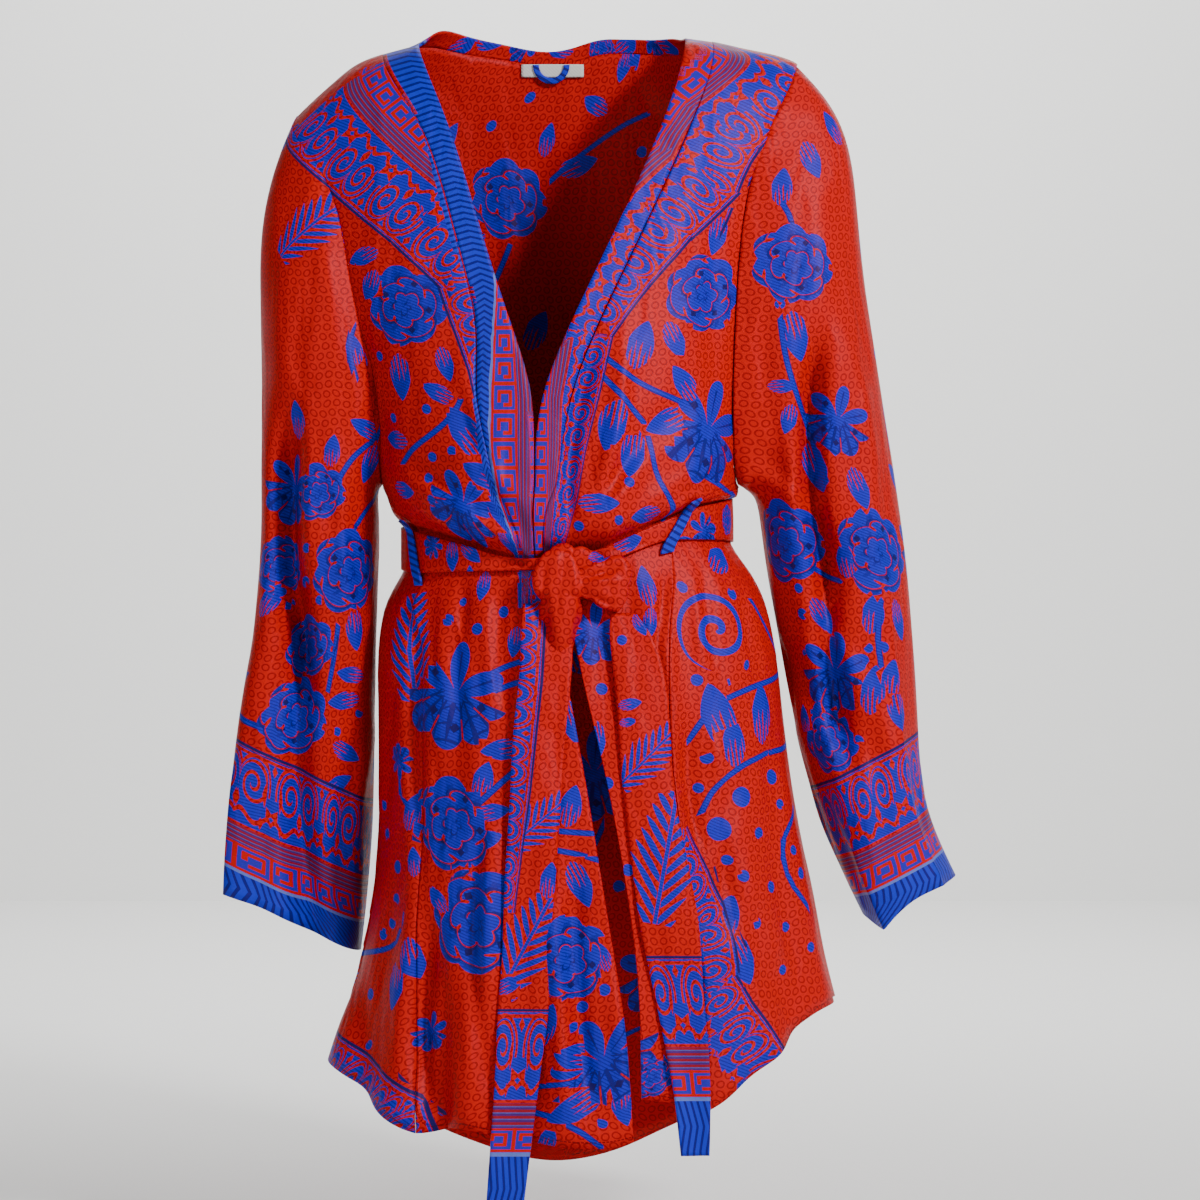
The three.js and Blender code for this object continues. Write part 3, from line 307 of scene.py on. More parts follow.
def printed_satin(name, ground="print"):
    """The cloth's material: its ground, motifs, borders, fine hatch, ring figure and sheen."""
    material = bpy.data.materials.new(name)
    material.use_nodes = True
    tree = material.node_tree
    surface = tree.nodes["Principled BSDF"]
    u, v, hem = attribute(tree, "cloth")
    x, y, kind = attribute(tree, "motif")
    stem_off, _, stem_on = attribute(tree, "stem")
    along, across, border = attribute(tree, "border")

    reach = (x * x + y * y).power(0.5)
    turn = y.math("ARCTAN2", x)
    swirl = ((reach * 1.75 - turn * ONCE_ROUND).fraction() < (0.40 - reach * 0.16)) & (reach < 0.98)
    rose, rose_lines = rose_print(x, y, reach, turn)
    peony, peony_lines = peony_print(x, y, reach, turn)
    petal_lines = (rose_lines & kind.near(ROSE, 0.3)) | (peony_lines & kind.near(PEONY, 0.3))
    motif = rose & kind.near(ROSE, 0.3)
    for number, shape in ((PEONY, peony), (LEAF, leaf_print(x, y)), (FERN, fern_print(x, y)),
                          (DOT, reach < 0.85), (SWIRL, swirl)):
        motif = motif | (shape & kind.near(number, 0.3))
    stem = (stem_off.size() < 0.0022) & (stem_on > 0.5)
    border = border > 0.5
    field = ~(border & (across < SCROLL_END))
    studs = 0.0
    for stud_x, stud_y in ((0.30, 0.52), (-0.42, 0.30), (0.10, -0.58), (-0.30, -0.34), (0.56, -0.12)):
        studs = (((x - stud_x).size() + (y - stud_y).size()) < 0.09) + studs
    studs = studs & kind.between(ROSE - 0.5, PEONY + 0.5)

    ring_x = (u * RINGS + (v * (RINGS / 2)).math("FLOOR") * 0.5 + (v * 330.0).sin() * 0.10).fraction() - 0.5
    ring_y = (v * RINGS + (u * 290.0).sin() * 0.12).fraction() - 0.5
    ring_reach = (ring_x * ring_x + ring_y * ring_y).power(0.5)
    ring = ring_reach.near(0.33, 0.075)
    glow = (ring_reach < 0.27) * 0.5 + (ring_reach > 0.42) * 0.8
    hatch = ((u * 0.42 + v) * HATCH_LINES).fraction() < 0.34

    ground_red = (ring * 0.62).mix(RED, RED_LINE)
    ground_red = (glow * 0.16).mix(ground_red, RED_GLOW)
    blue_print = ((hatch * 0.6) | studs | (petal_lines * 0.8)).mix(BLUE, BLUE_LINE)
    stem_print = ((stem_off.size() > 0.0015) * 0.8).mix(blue_print, BLUE_LINE)
    colour = (motif & field).mix(ground_red, blue_print)
    colour = (stem & field & ~motif).mix(colour, stem_print)

    scroll_share = (across - SCROLL_START) / (SCROLL_END - SCROLL_START)
    scroll_colour = scroll_print(along, scroll_share).mix(ground_red, blue_print)
    weave = ((v * 900.0).fraction() < 0.5) * 0.5
    key_share = (across - KEY_START) / (KEY_END - KEY_START)
    key_colour = key_print(along, key_share).mix(weave.mix(BLUE, VIOLET), RED)
    stripe = (across * STRIPES).fraction()
    stripe_colour = (stripe < 0.45).mix(VIOLET, STRIPE_RED)
    stripe_colour = ((stripe > 0.8) * 0.4).mix(stripe_colour, PALE)
    fold = ((across / CHEVRON_END - 0.5).size() * 1.6 + along / CHEVRON_REPEAT).fraction() < 0.38
    chevron_colour = fold.mix(PLAIN_BLUE, PLAIN_LINE)
    for low, high, strip in (
            (SCROLL_START, SCROLL_END, scroll_colour), (EDGE_LINE_START, EDGE_LINE_END, BLUE_LINE),
            (KEY_START, KEY_END, key_colour), (KEY_END, SCROLL_START, stripe_colour),
            (CHEVRON_END, KEY_START, PALE), (-1.0, CHEVRON_END, chevron_colour)):
        colour = (border & across.between(low, high)).mix(colour, strip)
    if ground == "plain blue":
        wave = ((u * 0.5 + v + (v * 160.0).sin() * 0.0008) * 190.0).fraction() < 0.4
        colour = wave.mix(PLAIN_BLUE, PLAIN_LINE)

    stitch = hem.near(0.0046, 0.0004) & ((u * 420.0).fraction() < 0.66)
    colour = (stitch * 0.7).mix(colour, THREAD)
    tree.links.new(colour.socket, surface.inputs["Base Color"])
    surface.inputs["Roughness"].default_value = 0.50
    surface.inputs["Specular IOR Level"].default_value = 0.26
    surface.inputs["Specular Tint"].default_value = (1.0, 0.42, 0.50, 1)

    crepe = ((u * 2100.0).sin() * (v * 1900.0).sin()) * 0.35 - ring * 1.1 - stitch * 3.0
    place = u.node("ShaderNodeTexCoord", outlet=3)
    spread = place.node("ShaderNodeMapping", i0=place, i3=(26, 20, 9))
    rumple = spread.node("ShaderNodeTexNoise", i0=spread, i2=1.0, i3=2.5, i8=0.8)
    relief = rumple + crepe * 0.012
    bump = relief.node("ShaderNodeBump", i0=1.0, i1=0.006, i3=relief)
    tree.links.new(bump.socket, surface.inputs["Normal"])
    return material


satin = printed_satin("printed_satin")
blue_satin = printed_satin("blue_satin", "plain blue")


def photo_place(points):
    """Where points of the robe show in the photograph, in pixels."""
    near = CAMERA_PLACE[1] / (CAMERA_PLACE[1] - points[:, 1])
    across = PHOTO_MIDDLE + (points[:, 0] - CAMERA_PLACE[0]) * near / PIXEL
    down = PHOTO_MIDDLE - (points[:, 2] - CAMERA_PLACE[2]) * near / PIXEL
    return np.stack([across, down], axis=1)


# Each crease runs between two places of the photo, has a depth in millimetres, minus for a trough,
# and a half width in pixels. The back has the same ones, turned round and lower.
BACK_SHARE = 0.45
SIDEWAYS_SHARE = 0.4
BODY_CREASES = [
    # x, y at the start, x, y at the end, depth, half width
    (396, 478, 520, 548, 4.4, 10), (404, 458, 532, 534, -5.4, 9), (440, 440, 541, 522, 4, 10),
    (398, 512, 500, 558, -4.4, 9), (452, 340, 484, 500, 3.6, 12), (462, 400, 512, 522, -4.4, 9),
    (366, 330, 392, 462, -6, 11), (420, 190, 462, 320, 2.2, 14), (355, 150, 420, 280, 2, 16),
    (738, 430, 606, 538, 4.6, 11), (728, 470, 636, 526, -5.6, 10), (704, 388, 588, 526, -5.4, 11),
    (664, 420, 572, 538, 4.4, 10), (746, 488, 650, 532, 3.8, 8), (602, 330, 566, 545, -9, 8),
    (624, 330, 590, 520, 4.6, 10), (724, 210, 726, 440, -4.6, 11), (700, 120, 650, 300, 2, 15),
    (560, 450, 552, 545, 2.2, 6), (505, 430, 530, 548, -2, 6), (480, 330, 500, 520, 1.8, 6),
    (438, 588, 432, 700, -3.6, 8), (452, 588, 448, 720, 2.4, 9), (466, 586, 462, 750, -4.4, 8),
    (484, 588, 486, 740, 2.6, 9), (501, 588, 506, 720, -3.6, 8), (518, 588, 522, 700, 2.4, 8),
    (636, 590, 632, 740, -3.4, 9), (652, 580, 655, 700, 2.8, 9), (668, 566, 668, 760, -6, 7),
    (688, 562, 702, 690, 2.8, 9), (706, 560, 724, 690, -3.8, 8), (724, 562, 744, 690, 2.8, 9),
    (740, 575, 764, 690, -3.4, 8), (411, 594, 402, 700, -3.6, 8), (397, 594, 391, 690, 2.6, 8),
    (421, 606, 424, 860, -7, 7), (474, 730, 462, 1108, 7, 14), (432, 920, 426, 1120, -14, 11),
    (404, 700, 392, 1060, 3.2, 13), (384, 800, 360, 1080, -8.5, 13), (494, 760, 488, 1100, -7.5, 10),
    (546, 900, 558, 1132, 5, 13), (580, 840, 596, 1130, -8, 11), (606, 960, 618, 1130, 4, 9),
    (691, 715, 705, 867, -7, 9), (705, 867, 735, 940, -6, 9), (729, 765, 735, 920, -7, 9),
    (710, 720, 722, 900, 2.6, 7), (748, 720, 772, 1000, 4.6, 13), (774, 700, 808, 1000, -8.5, 12),
    (716, 890, 738, 1080, 4.4, 12), (758, 900, 780, 1010, -7.5, 11), (664, 760, 684, 930, 3, 10),
    (470, 700, 516, 660, -2, 6), (690, 684, 780, 650, 2.2, 7), (684, 668, 770, 664, -2.4, 6),
    (392, 740, 420, 700, -2.4, 6), (560, 1035, 612, 1034, -1.6, 4), (380, 690, 412, 640, 2, 7),
]
RIGHT_SLEEVE_CREASES = [
    (292, 390, 310, 720, -30, 13), (306, 560, 326, 980, -26, 17), (330, 420, 334, 620, 3.4, 9),
    (338, 520, 345, 900, 7, 8), (262, 440, 258, 640, 3, 9), (254, 660, 246, 900, 3.4, 10),
    (345, 330, 356, 520, 3, 10), (364, 560, 366, 760, -3.4, 9), (348, 760, 352, 930, -4, 10),
    (322, 240, 330, 420, 2.4, 10), (300, 140, 322, 300, 2.2, 15), (276, 220, 272, 420, -2.4, 10),
    (366, 400, 374, 520, -3, 8), (255, 690, 262, 730, -3, 8), (270, 700, 262, 744, 2.8, 6),
    (310, 480, 350, 540, -2.2, 8), (384, 700, 352, 790, 3.2, 9), (300, 300, 306, 400, -2.6, 8),
]
LEFT_SLEEVE_CREASES = [
    (820, 320, 830, 600, -28, 11), (830, 520, 852, 780, -24, 13), (846, 330, 868, 580, 6, 9),
    (896, 600, 916, 800, -2.8, 9), (868, 400, 900, 640, 2.4, 12), (782, 420, 790, 520, 3, 9),
    (766, 300, 784, 470, -3, 9), (770, 640, 852, 742, -12, 22), (794, 596, 872, 706, 5, 9),
    (806, 740, 846, 880, -5, 16), (800, 150, 822, 330, 2.4, 14), (880, 700, 892, 860, 2.6, 9),
    (856, 740, 868, 880, 3.4, 9), (836, 180, 850, 320, -2.4, 10), (742, 470, 808, 508, 3.2, 9),
    (752, 440, 812, 498, -2.8, 8), (884, 720, 926, 800, 2.4, 8),
]


def crease_lift(points, table, turn_at=BODY_MIDDLE, turned=False):
    """How far the creases in a table move the cloth outward, in metres; those of the back are lower."""
    place = photo_place(points)
    across = np.where(turned, 2 * turn_at - place[:, 0], place[:, 0])
    lift = np.zeros(len(points))
    for x0, y0, x1, y1, depth, width in table:
        run_x, run_y = x1 - x0, y1 - y0
        length = math.hypot(run_x, run_y)
        along = ((across - x0) * run_x + (place[:, 1] - y0) * run_y) / length ** 2
        bow = 0.05 * length * np.sin(np.pi * np.clip(along, 0, 1)) * (1 if depth > 0 else -1)
        off = ((across - x0) * run_y - (place[:, 1] - y0) * run_x) / length - bow
        ends = np.clip(np.minimum(along + 0.06, 1.06 - along) / 0.34, 0, 1)
        shape = ends * ends * (3 - 2 * ends) * np.exp(-(off / width) ** 2)
        lift += np.where(turned, BACK_SHARE, 1.0) * depth * 0.001 * shape
    return lift


LINE_ROWS = 44
ROUND_STEPS = 24
STRIP_MIDDLE = 0.022


def middle_line(points):
    """A tube's sides, front and back at even heights, from the points of its solids."""
    heights = np.linspace(points[:, 2].min(), points[:, 2].max(), LINE_ROWS)
    step = heights[1] - heights[0]
    rows = []
    for height in heights:
        near = points[np.abs(points[:, 2] - height) < step * 1.2]
        rows.append([near[:, 0].min(), near[:, 0].max(), near[:, 1].min(), near[:, 1].max()])
    rows = np.array(rows)
    for _ in range(3):
        rows[1:-1] = (rows[:-2] + 2 * rows[1:-1] + rows[2:]) / 4
    return heights, rows


def around(points, line):
    """The tube's middle, the angle round it, and the cloth's length from its front and its back.

    A piece with no line is a flat strip, which is measured straight across.
    """
    if line is None:
        flat = points[:, 0] - STRIP_MIDDLE
        return np.zeros((len(points), 2)), flat * 0, flat, flat
    heights, rows = line
    low_x, high_x, low_y, high_y = (np.interp(points[:, 2], heights, rows[:, i]) for i in range(4))
    middle = np.stack([(low_x + high_x) / 2, (low_y + high_y) / 2], axis=1)
    half = (high_x - low_x) / 2 + 1e-4
    deep = (high_y - low_y) / 2 + 1e-4
    angle = np.arctan2((points[:, 0] - middle[:, 0]) / half, -(points[:, 1] - middle[:, 1]) / deep)
    lengths = []
    for end in (np.abs(angle), np.pi - np.abs(angle)):
        total = np.zeros(len(points))
        for i in range(ROUND_STEPS):
            at = end * (i + 0.5) / ROUND_STEPS
            total += np.hypot(half * np.cos(at), deep * np.sin(at)) * end / ROUND_STEPS
        lengths.append(total * np.sign(angle))
    return middle, angle, lengths[0], lengths[1]


def corner_points(mesh):
    """The places of a mesh's vertices."""
    points = np.empty(len(mesh.vertices) * 3)
    mesh.vertices.foreach_get("co", points)
    return points.reshape(-1, 3)


# Edges sharper than this turn a rim's corner, and a rim's faces are smaller than this. The rims grow
# by the seam's reach, so that pieces sewn together meet.
RIM_TURN = math.radians(52)
RIM_FACE = 0.00006
SEAM_REACH = 0.00045
FINER_ROUNDS = 2


def fine_mesh(name, node):
    """The node's solid with its triangles paired and made finer; its rims meet their neighbours."""
    form = bmesh.new()
    form.from_mesh(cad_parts[node].data)
    bmesh.ops.remove_doubles(form, verts=form.verts, dist=0.00002)
    bmesh.ops.join_triangles(form, faces=form.faces, cmp_seam=False, cmp_sharp=False, cmp_uvs=False,
                             cmp_vcols=False, cmp_materials=False, angle_face_threshold=math.radians(50),
                             angle_shape_threshold=math.radians(179))
    form.normal_update()
    crease = form.edges.layers.float.new("crease_edge")
    for edge in form.edges:
        if edge.calc_face_angle(0) > RIM_TURN:
            edge[crease] = 1.0
    shifts = {}
    for face in form.faces:
        if sum(edge[crease] > 0.5 for edge in face.edges) >= 2 and face.calc_area() < RIM_FACE:
            for vert in face.verts:
                shifts[vert] = shifts.get(vert, Vector()) + face.normal
    for vert, shift in shifts.items():
        vert.co += shift.normalized() * SEAM_REACH
    rough = placed(name + "_rough", mesh_of(name, form))
    finer = rough.modifiers.new("finer", "SUBSURF")
    finer.levels = FINER_ROUNDS
    finer.render_levels = FINER_ROUNDS
    bpy.context.view_layer.update()
    shaped = rough.evaluated_get(bpy.context.evaluated_depsgraph_get())
    done = bpy.data.meshes.new_from_object(shaped)
    done.name = name
    bpy.data.objects.remove(rough)
    return done


BODY_MOTIFS = {
    # x and y of the middle, half the length in pixels, and the tip's turn to the right of up, if any
    ROSE: [(405, 306, 42), (704, 294, 41, 40), (455, 824, 48), (480, 922, 54, 30), (568, 959, 44),
        (654, 1076, 22)],
    PEONY: [(462, 506, 42, 40), (708, 430, 58, 20), (456, 694, 58, 12), (606, 1062, 54, -40),
        (594, 632, 34, 10), (432, 1030, 22), (398, 762, 20, 180)],
    SWIRL: [(716, 630, 43)],
    LEAF: [(362, 257, 17, -110), (370, 286, 18, -150), (400, 377, 24, 185), (446, 364, 18, 170),
        (437, 393, 18, -60), (396, 440, 19, -80), (467, 432, 30, -32), (484, 476, 24, -60),
        (503, 512, 26, -34), (404, 490, 18, 100), (506, 542, 13, 180), (613, 425, 27, 200),
        (632, 453, 25, 195), (599, 503, 20, 90), (717, 236, 20, 190), (640, 345, 26, 20),
        (675, 340, 20, 160), (685, 384, 22, -35), (668, 422, 26, -110), (646, 515, 17, -100),
        (484, 586, 15, 180), (515, 642, 16, 190), (503, 750, 21, -95), (412, 812, 20, 20), (413, 862, 15),
        (482, 780, 19, 20), (492, 812, 17, 80), (439, 901, 17, -30), (395, 985, 26, 185),
        (411, 962, 25, 175), (570, 806, 22, 20), (580, 884, 24, 160), (596, 740, 20, 180),
        (572, 722, 22, 170), (603, 957, 15, -20), (544, 1027, 24, 10), (577, 1056, 24, -80),
        (576, 1108, 28, -120), (622, 1106, 20, 170), (546, 1139, 15, 10), (647, 586, 21, 5),
        (651, 622, 15, 190), (719, 716, 34, -14), (734, 742, 26), (762, 714, 31, 3), (760, 596, 28, 200),
        (716, 560, 22, 60), (724, 920, 26, 20), (742, 960, 26, 160), (706, 1010, 22, 10),
        (640, 800, 20, 190)],
    FERN: [(409, 648, 56, -4), (700, 1050, 26, 30), (340, 980, 26, 20)],
    DOT: [(380, 356, 6), (427, 409, 6), (393, 418, 6), (432, 457, 6), (452, 451, 6), (429, 478, 6),
        (431, 500, 6), (630, 482, 6), (619, 520, 6), (579, 526, 6), (448, 620, 7), (504, 612, 7),
        (477, 629, 7), (464, 602, 5), (389, 834, 7), (397, 867, 8), (383, 805, 7), (398, 899, 7),
        (392, 923, 7), (383, 934, 7), (371, 994, 7), (369, 1045, 6), (602, 689, 7), (607, 783, 7),
        (604, 990, 7), (584, 1007, 7), (571, 1028, 6), (602, 1123, 6), (682, 587, 7), (731, 594, 7),
        (748, 665, 6), (696, 680, 7), (727, 680, 7), (742, 797, 12), (772, 777, 9), (718, 829, 14),
        (706, 758, 7), (699, 788, 6), (780, 804, 6), (758, 833, 7), (727, 860, 6), (744, 876, 7),
        (772, 887, 7), (794, 850, 6), (801, 873, 7), (756, 923, 7), (785, 927, 6), (811, 947, 6),
        (751, 957, 7), (784, 970, 6), (628, 870, 7), (646, 930, 6)],
}
BODY_STEMS = [
    [(404, 462), (412, 449), (430, 436), (452, 419), (462, 397)],
    [(600, 352), (622, 372), (655, 392), (687, 404)], [(598, 372), (616, 390), (641, 419)],
    [(650, 443), (656, 480), (664, 521)], [(707, 477), (728, 493), (745, 505)],
    [(478, 682), (500, 668), (520, 662)], [(492, 692), (506, 686), (520, 682)],
    [(484, 798), (498, 786), (514, 772)], [(783, 671), (755, 684), (728, 698)],
    [(714, 708), (702, 720), (690, 738)], [(788, 744), (762, 752), (734, 770), (712, 790), (703, 810)],
    [(795, 806), (782, 833), (783, 860), (790, 884), (808, 906)],
    [(360, 953), (384, 953), (398, 942), (404, 924)], [(540, 829), (566, 832), (596, 834)],
    [(545, 848), (574, 853), (598, 860)], [(532, 1088), (562, 1084), (590, 1079)],
    [(526, 1111), (540, 1114), (555, 1118)], [(570, 1127), (584, 1134), (598, 1144)],
    [(402, 774), (400, 792), (408, 806)], [(750, 600), (770, 640), (780, 660)],
    [(700, 872), (714, 900), (722, 935), (716, 960)],
]
BORDER_PATHS = [
    # how far the border reaches in from its outer line; the line's x, y and scroll width, from which
    # the scroll lies on the right-hand side
    (0.088, [(484, 430, 40), (470, 370, 58), (452, 320, 66), (440, 285, 70), (392, 240, 72),
     (300, 160, 72)]),
    (0.088, [(800, 112, 74), (760, 146, 72), (735, 195, 72), (687, 241, 70), (664, 267, 64),
     (616, 330, 46)]),
    (0.050, [(322, 1022, 70), (345, 1042, 70), (380, 1070, 70), (415, 1098, 70), (424, 1104, 70)]),
    (0.036, [(704, 866, 64), (722, 905, 64), (732, 936, 64), (738, 981, 64), (752, 1005, 64),
     (768, 1027, 64)]),
]
BAND_CHART = [
    # y, then x at the chevron's left, pale line, key, stripes and middle, then key, stripes, scroll and end
    (30, 372, 420, 424, 426, 428, 429, 430, 431, 432), (110, 418, 448, 450, 452, 454, 455, 456, 457, 458),
    (150, 429, 462, 464, 466, 468, 469, 470, 471, 472),
    (200, 441, 478, 480, 482, 484, 485, 486, 487, 488),
    (250, 455, 494, 498, 500, 502, 503, 504, 505, 506),
    (290, 476, 494, 497, 509, 514, 515, 516, 517, 518),
    (330, 477, 491, 494, 514, 526, 545, 556, 574, 616),
    (400, 474, 487, 491, 518, 533, 533, 549, 561, 600),
    (450, 480, 487, 490, 518, 533, 533, 549, 560, 587),
    (500, 494, 497, 499, 519, 532, 533, 548, 554, 578),
    (550, 514, 516, 518, 522, 532, 533, 545, 549, 564),
    (572, 520, 521, 522, 523, 524, 525, 526, 527, 548),
    (610, 520, 521, 522, 523, 524, 525, 526, 527, 548),
]
LEFT_STOPS = (0.0, CHEVRON_END, KEY_START, KEY_END, SCROLL_START)
RIGHT_STOPS = (KEY_START, KEY_END, SCROLL_START, BORDER_END)
BAND_FOOT = 606
BAND_FORK = 330
BAND_SPARE = (9, 6)
BACK_MOTIFS = {
    # the same, but the place is across from the back's middle and up, in millimetres
    ROSE: [(-24, -108, 44), (60, -236, 44), (-126, -130, 42), (-76, -500, 46), (104, -592, 46),
        (-40, -680, 50), (150, -730, 44), (0, -800, 40)],
    LEAF: [(38, -36, 18, -60), (6, -62, 18), (34, -82, 22, 70), (58, 2, 20, 150), (-58, -140, 18, -110),
        (-48, -184, 18, 100), (52, -6, 18, 180), (-10, -210, 24, 30), (12, -280, 24, 160),
        (-30, -310, 24, -60), (118, -240, 22, 10), (-80, -64, 20, 20), (-20, -620, 24, 40),
        (54, -640, 24, -140), (-92, -560, 22, 80), (120, -520, 22, 20), (-90, -790, 24, 30),
        (90, -800, 24, 200), (170, -650, 22), (-170, -680, 22)],
    PEONY: [(96, -150, 50, 20), (-96, -250, 52, -30), (6, -560, 54, 10), (-130, -610, 46, 30),
        (58, -716, 52, -20), (-150, -740, 46)],
    FERN: [(-132, -40, 44, -60), (122, -70, 40, 50), (10, -450, 44, 20), (-120, -440, 40, -10)],
    DOT: [(-20, -30, 7), (-44, -52, 7), (84, -72, 7), (20, -330, 7), (-64, -330, 7), (90, -320, 7),
        (-30, -480, 8), (34, -510, 8), (-100, -650, 8), (110, -660, 8), (20, -650, 8), (-70, -730, 8),
        (100, -760, 8), (-20, -740, 8), (130, -460, 8)],
    SWIRL: [(64, -470, 44)],
}
BACK_STEMS = [
    [(14, -92), (40, -70), (66, -50), (84, -44)], [(-60, -210), (-40, -170), (-30, -150)],
    [(92, -196), (80, -214), (70, -222)], [(-96, -300), (-60, -324), (-20, -330)],
    [(10, -600), (-10, -640), (-30, -650)], [(60, -760), (30, -780), (10, -790)],
    [(-76, -540), (-90, -580), (-120, -590)], [(104, -636), (110, -680), (140, -700)],
]


BEHIND_TURN = math.radians(104)
STEM_REACH = 0.0075
BORDER_OVERLAP = 0.03


def each_motif(table):
    """The motifs of a table one by one: kind, place, half length and turn, which is 0 if not given."""
    for kind, rows in dict(table).items():
        for x, y, half, *turn in rows:
            yield kind, x, y, half, turn[0] if turn else 0


def lay_print(mesh, tube, motifs=(), stems=(), borders=(), chart=None, edge=None, back=None, hem=False,
              side=()):
    """Writes the cloth's own places, and the places on its motifs, stems and borders, at each corner."""
    points = corner_points(mesh)
    normals = np.empty(len(points) * 3)
    mesh.vertices.foreach_get("normal", normals)
    normals = normals.reshape(-1, 3)
    middle, angle, from_front, from_back = tube
    height = points[:, 2]
    shown = photo_place(points)
    outward = np.sum((points[:, :2] - middle) * normals[:, :2], axis=1)
    if not middle.any():
        outward = -normals[:, 1]
    candidates = np.nonzero((outward > 0) & (np.abs(angle) < math.radians(100)))[0]
    if len(candidates) == 0:
        candidates = np.arange(len(points))

    def cloth_place(x, y):
        gap = np.hypot(shown[candidates, 0] - x, shown[candidates, 1] - y)
        found = candidates[np.argmin(gap)]
        missed = (np.array([x, y]) - shown[found]) * PRINT_PIXEL
        return np.array([from_front[found] + missed[0], height[found] - missed[1]])

    corners = np.empty(len(mesh.loops), dtype=np.int64)
    mesh.loops.foreach_get("vertex_index", corners)
    starts = np.empty(len(mesh.polygons), dtype=np.int64)
    sizes = np.empty(len(mesh.polygons), dtype=np.int64)
    mesh.polygons.foreach_get("loop_start", starts)
    mesh.polygons.foreach_get("loop_total", sizes)
    owner = np.repeat(np.arange(len(sizes)), sizes)

    def face_mean(values):
        return np.add.reduceat(values, starts) / sizes

    def mostly(which):
        return face_mean(which.astype(float)) > 0.5

    behind = mostly((np.abs(angle) > BEHIND_TURN)[corners])
    turned = behind[owner]
    flat = np.stack([np.where(turned, from_back[corners], from_front[corners]), height[corners]], axis=1)
    centres = np.stack([face_mean(flat[:, 0]), face_mean(flat[:, 1])], axis=1)

    motif = np.zeros((len(corners), 3))
    best = np.full(len(sizes), 9.0)
    anywhere = np.ones(len(sizes), bool)
    in_front = ~behind if back else anywhere
    back_motifs, back_stems = back or ((), ())
    listed = [(cloth_place(x, y), in_front, kind, *rest) for kind, x, y, *rest in each_motif(motifs)]
    for table, only in ((side, anywhere), (back_motifs, behind)):
        listed += [(np.array([x, y]) / 1000, only, kind, *rest) for kind, x, y, *rest in each_motif(table)]
    for place, only, kind, half, turn in listed:
        size = half * PRINT_PIXEL
        lean = math.radians(turn)
        right = np.array([math.cos(lean), -math.sin(lean)])
        up = np.array([math.sin(lean), math.cos(lean)])
        away = np.hypot(*(centres - place).T) / size
        won = (away < best) & (away < 1.08 + 0.0034 / size) & only
        best[won] = away[won]
        chosen = won[owner]
        local = (flat[chosen] - place) / size
        motif[chosen] = np.stack([local @ right, local @ up, np.full(len(local), kind)], axis=1)

    stem = np.zeros((len(corners), 3))
    nearest = np.full(len(sizes), STEM_REACH)
    paths = [([cloth_place(x, y) for x, y in path], in_front) for path in stems]
    paths += [([np.array(stop) / 1000 for stop in path], behind) for path in back_stems]
    for stops, only in paths:
        smooth = [stops[0]]
        for a, b in zip(stops, stops[1:]):
            smooth += [a + (b - a) * share for share in (0.25, 0.5, 0.75, 1.0)]
        for _ in range(6):
            inner = [(p + 2 * q + r) / 4 for p, q, r in zip(smooth, smooth[1:], smooth[2:])]
            smooth = [smooth[0], *inner, smooth[-1]]
        for a, b in zip(smooth, smooth[1:]):
            length = max(math.hypot(*(b - a)), 1e-5)
            run = (b - a) / length
            left = np.array([-run[1], run[0]])
            gone = (centres - a) @ run
            off = np.abs((centres - a) @ left) + 2 * np.maximum(0, np.maximum(-gone, gone - length))
            won = (off < nearest) & only
            nearest[won] = off[won]
            chosen = won[owner]
            stem[chosen, 0] = (flat[chosen] - a) @ left
            stem[chosen, 2] = 1

    border = np.zeros((len(corners), 3))
    nearest = np.full(len(sizes), 1e3)
    for limit, path in borders:
        stops = [np.array([*cloth_place(x, y), width * PRINT_PIXEL]) for x, y, width in path]
        gone_before = 0.0
        for a, b in zip(stops, stops[1:]):
            length = math.hypot(*(b - a)[:2])
            run = (b - a)[:2] / length
            inward = np.array([run[1], -run[0]])
            gone = (centres - a[:2]) @ run
            off = (centres - a[:2]) @ inward
            past = np.maximum(0, np.maximum(-gone, gone - length))
            gap = np.abs(off) + past * 3
            won = (gap < nearest) & (off > -0.006) & (off < limit) & (past < BORDER_OVERLAP) & ~behind
            nearest[won] = gap[won]
            chosen = won[owner]
            local = flat[chosen] - a[:2]
            share = np.clip(local @ run / length, 0, 1)
            scale = (SCROLL_END - SCROLL_START) / (a[2] + (b[2] - a[2]) * share)
            across = SCROLL_END - local @ inward * scale
            along = local @ run + gone_before
            border[chosen] = np.stack([along, np.maximum(across, KEY_START), across > 0], axis=1)
            gone_before += length
    if chart is not None:
        rows = np.array(chart, dtype=float)
        x, y = shown[corners].T
        stops = [np.interp(y, rows[:, 0], rows[:, i]) for i in range(1, 10)]
        on_left = x < (stops[4] + stops[5]) / 2
        across = np.full(len(x), NO_BORDER)
        for found, places, values in ((on_left, stops[:5], LEFT_STOPS), (~on_left, stops[5:], RIGHT_STOPS)):
            last = len(places) - 2
            for i in range(last + 1):
                low = places[i] - (BAND_SPARE[0] if i == 0 else 0)
                high = places[i + 1] + (BAND_SPARE[1] if i == last else 0)
                part = found & (x >= low) & (x <= high)
                share = (x - places[i]) / np.maximum(places[i + 1] - places[i], 0.1)
                across[part] = (values[i] + (values[i + 1] - values[i]) * share)[part]
        inside = (face_mean(across) < 0.14) & mostly((points[:, 1] < 0.03)[corners]) & ~behind
        inside &= (face_mean(y) < BAND_FOOT) & (face_mean(x - stops[0]) > -1.5)
        inside &= mostly(on_left) | (face_mean(y) > BAND_FORK)
        chosen = inside[owner]
        border[chosen] = np.stack([height[corners][chosen], across[chosen], np.ones(chosen.sum())], axis=1)
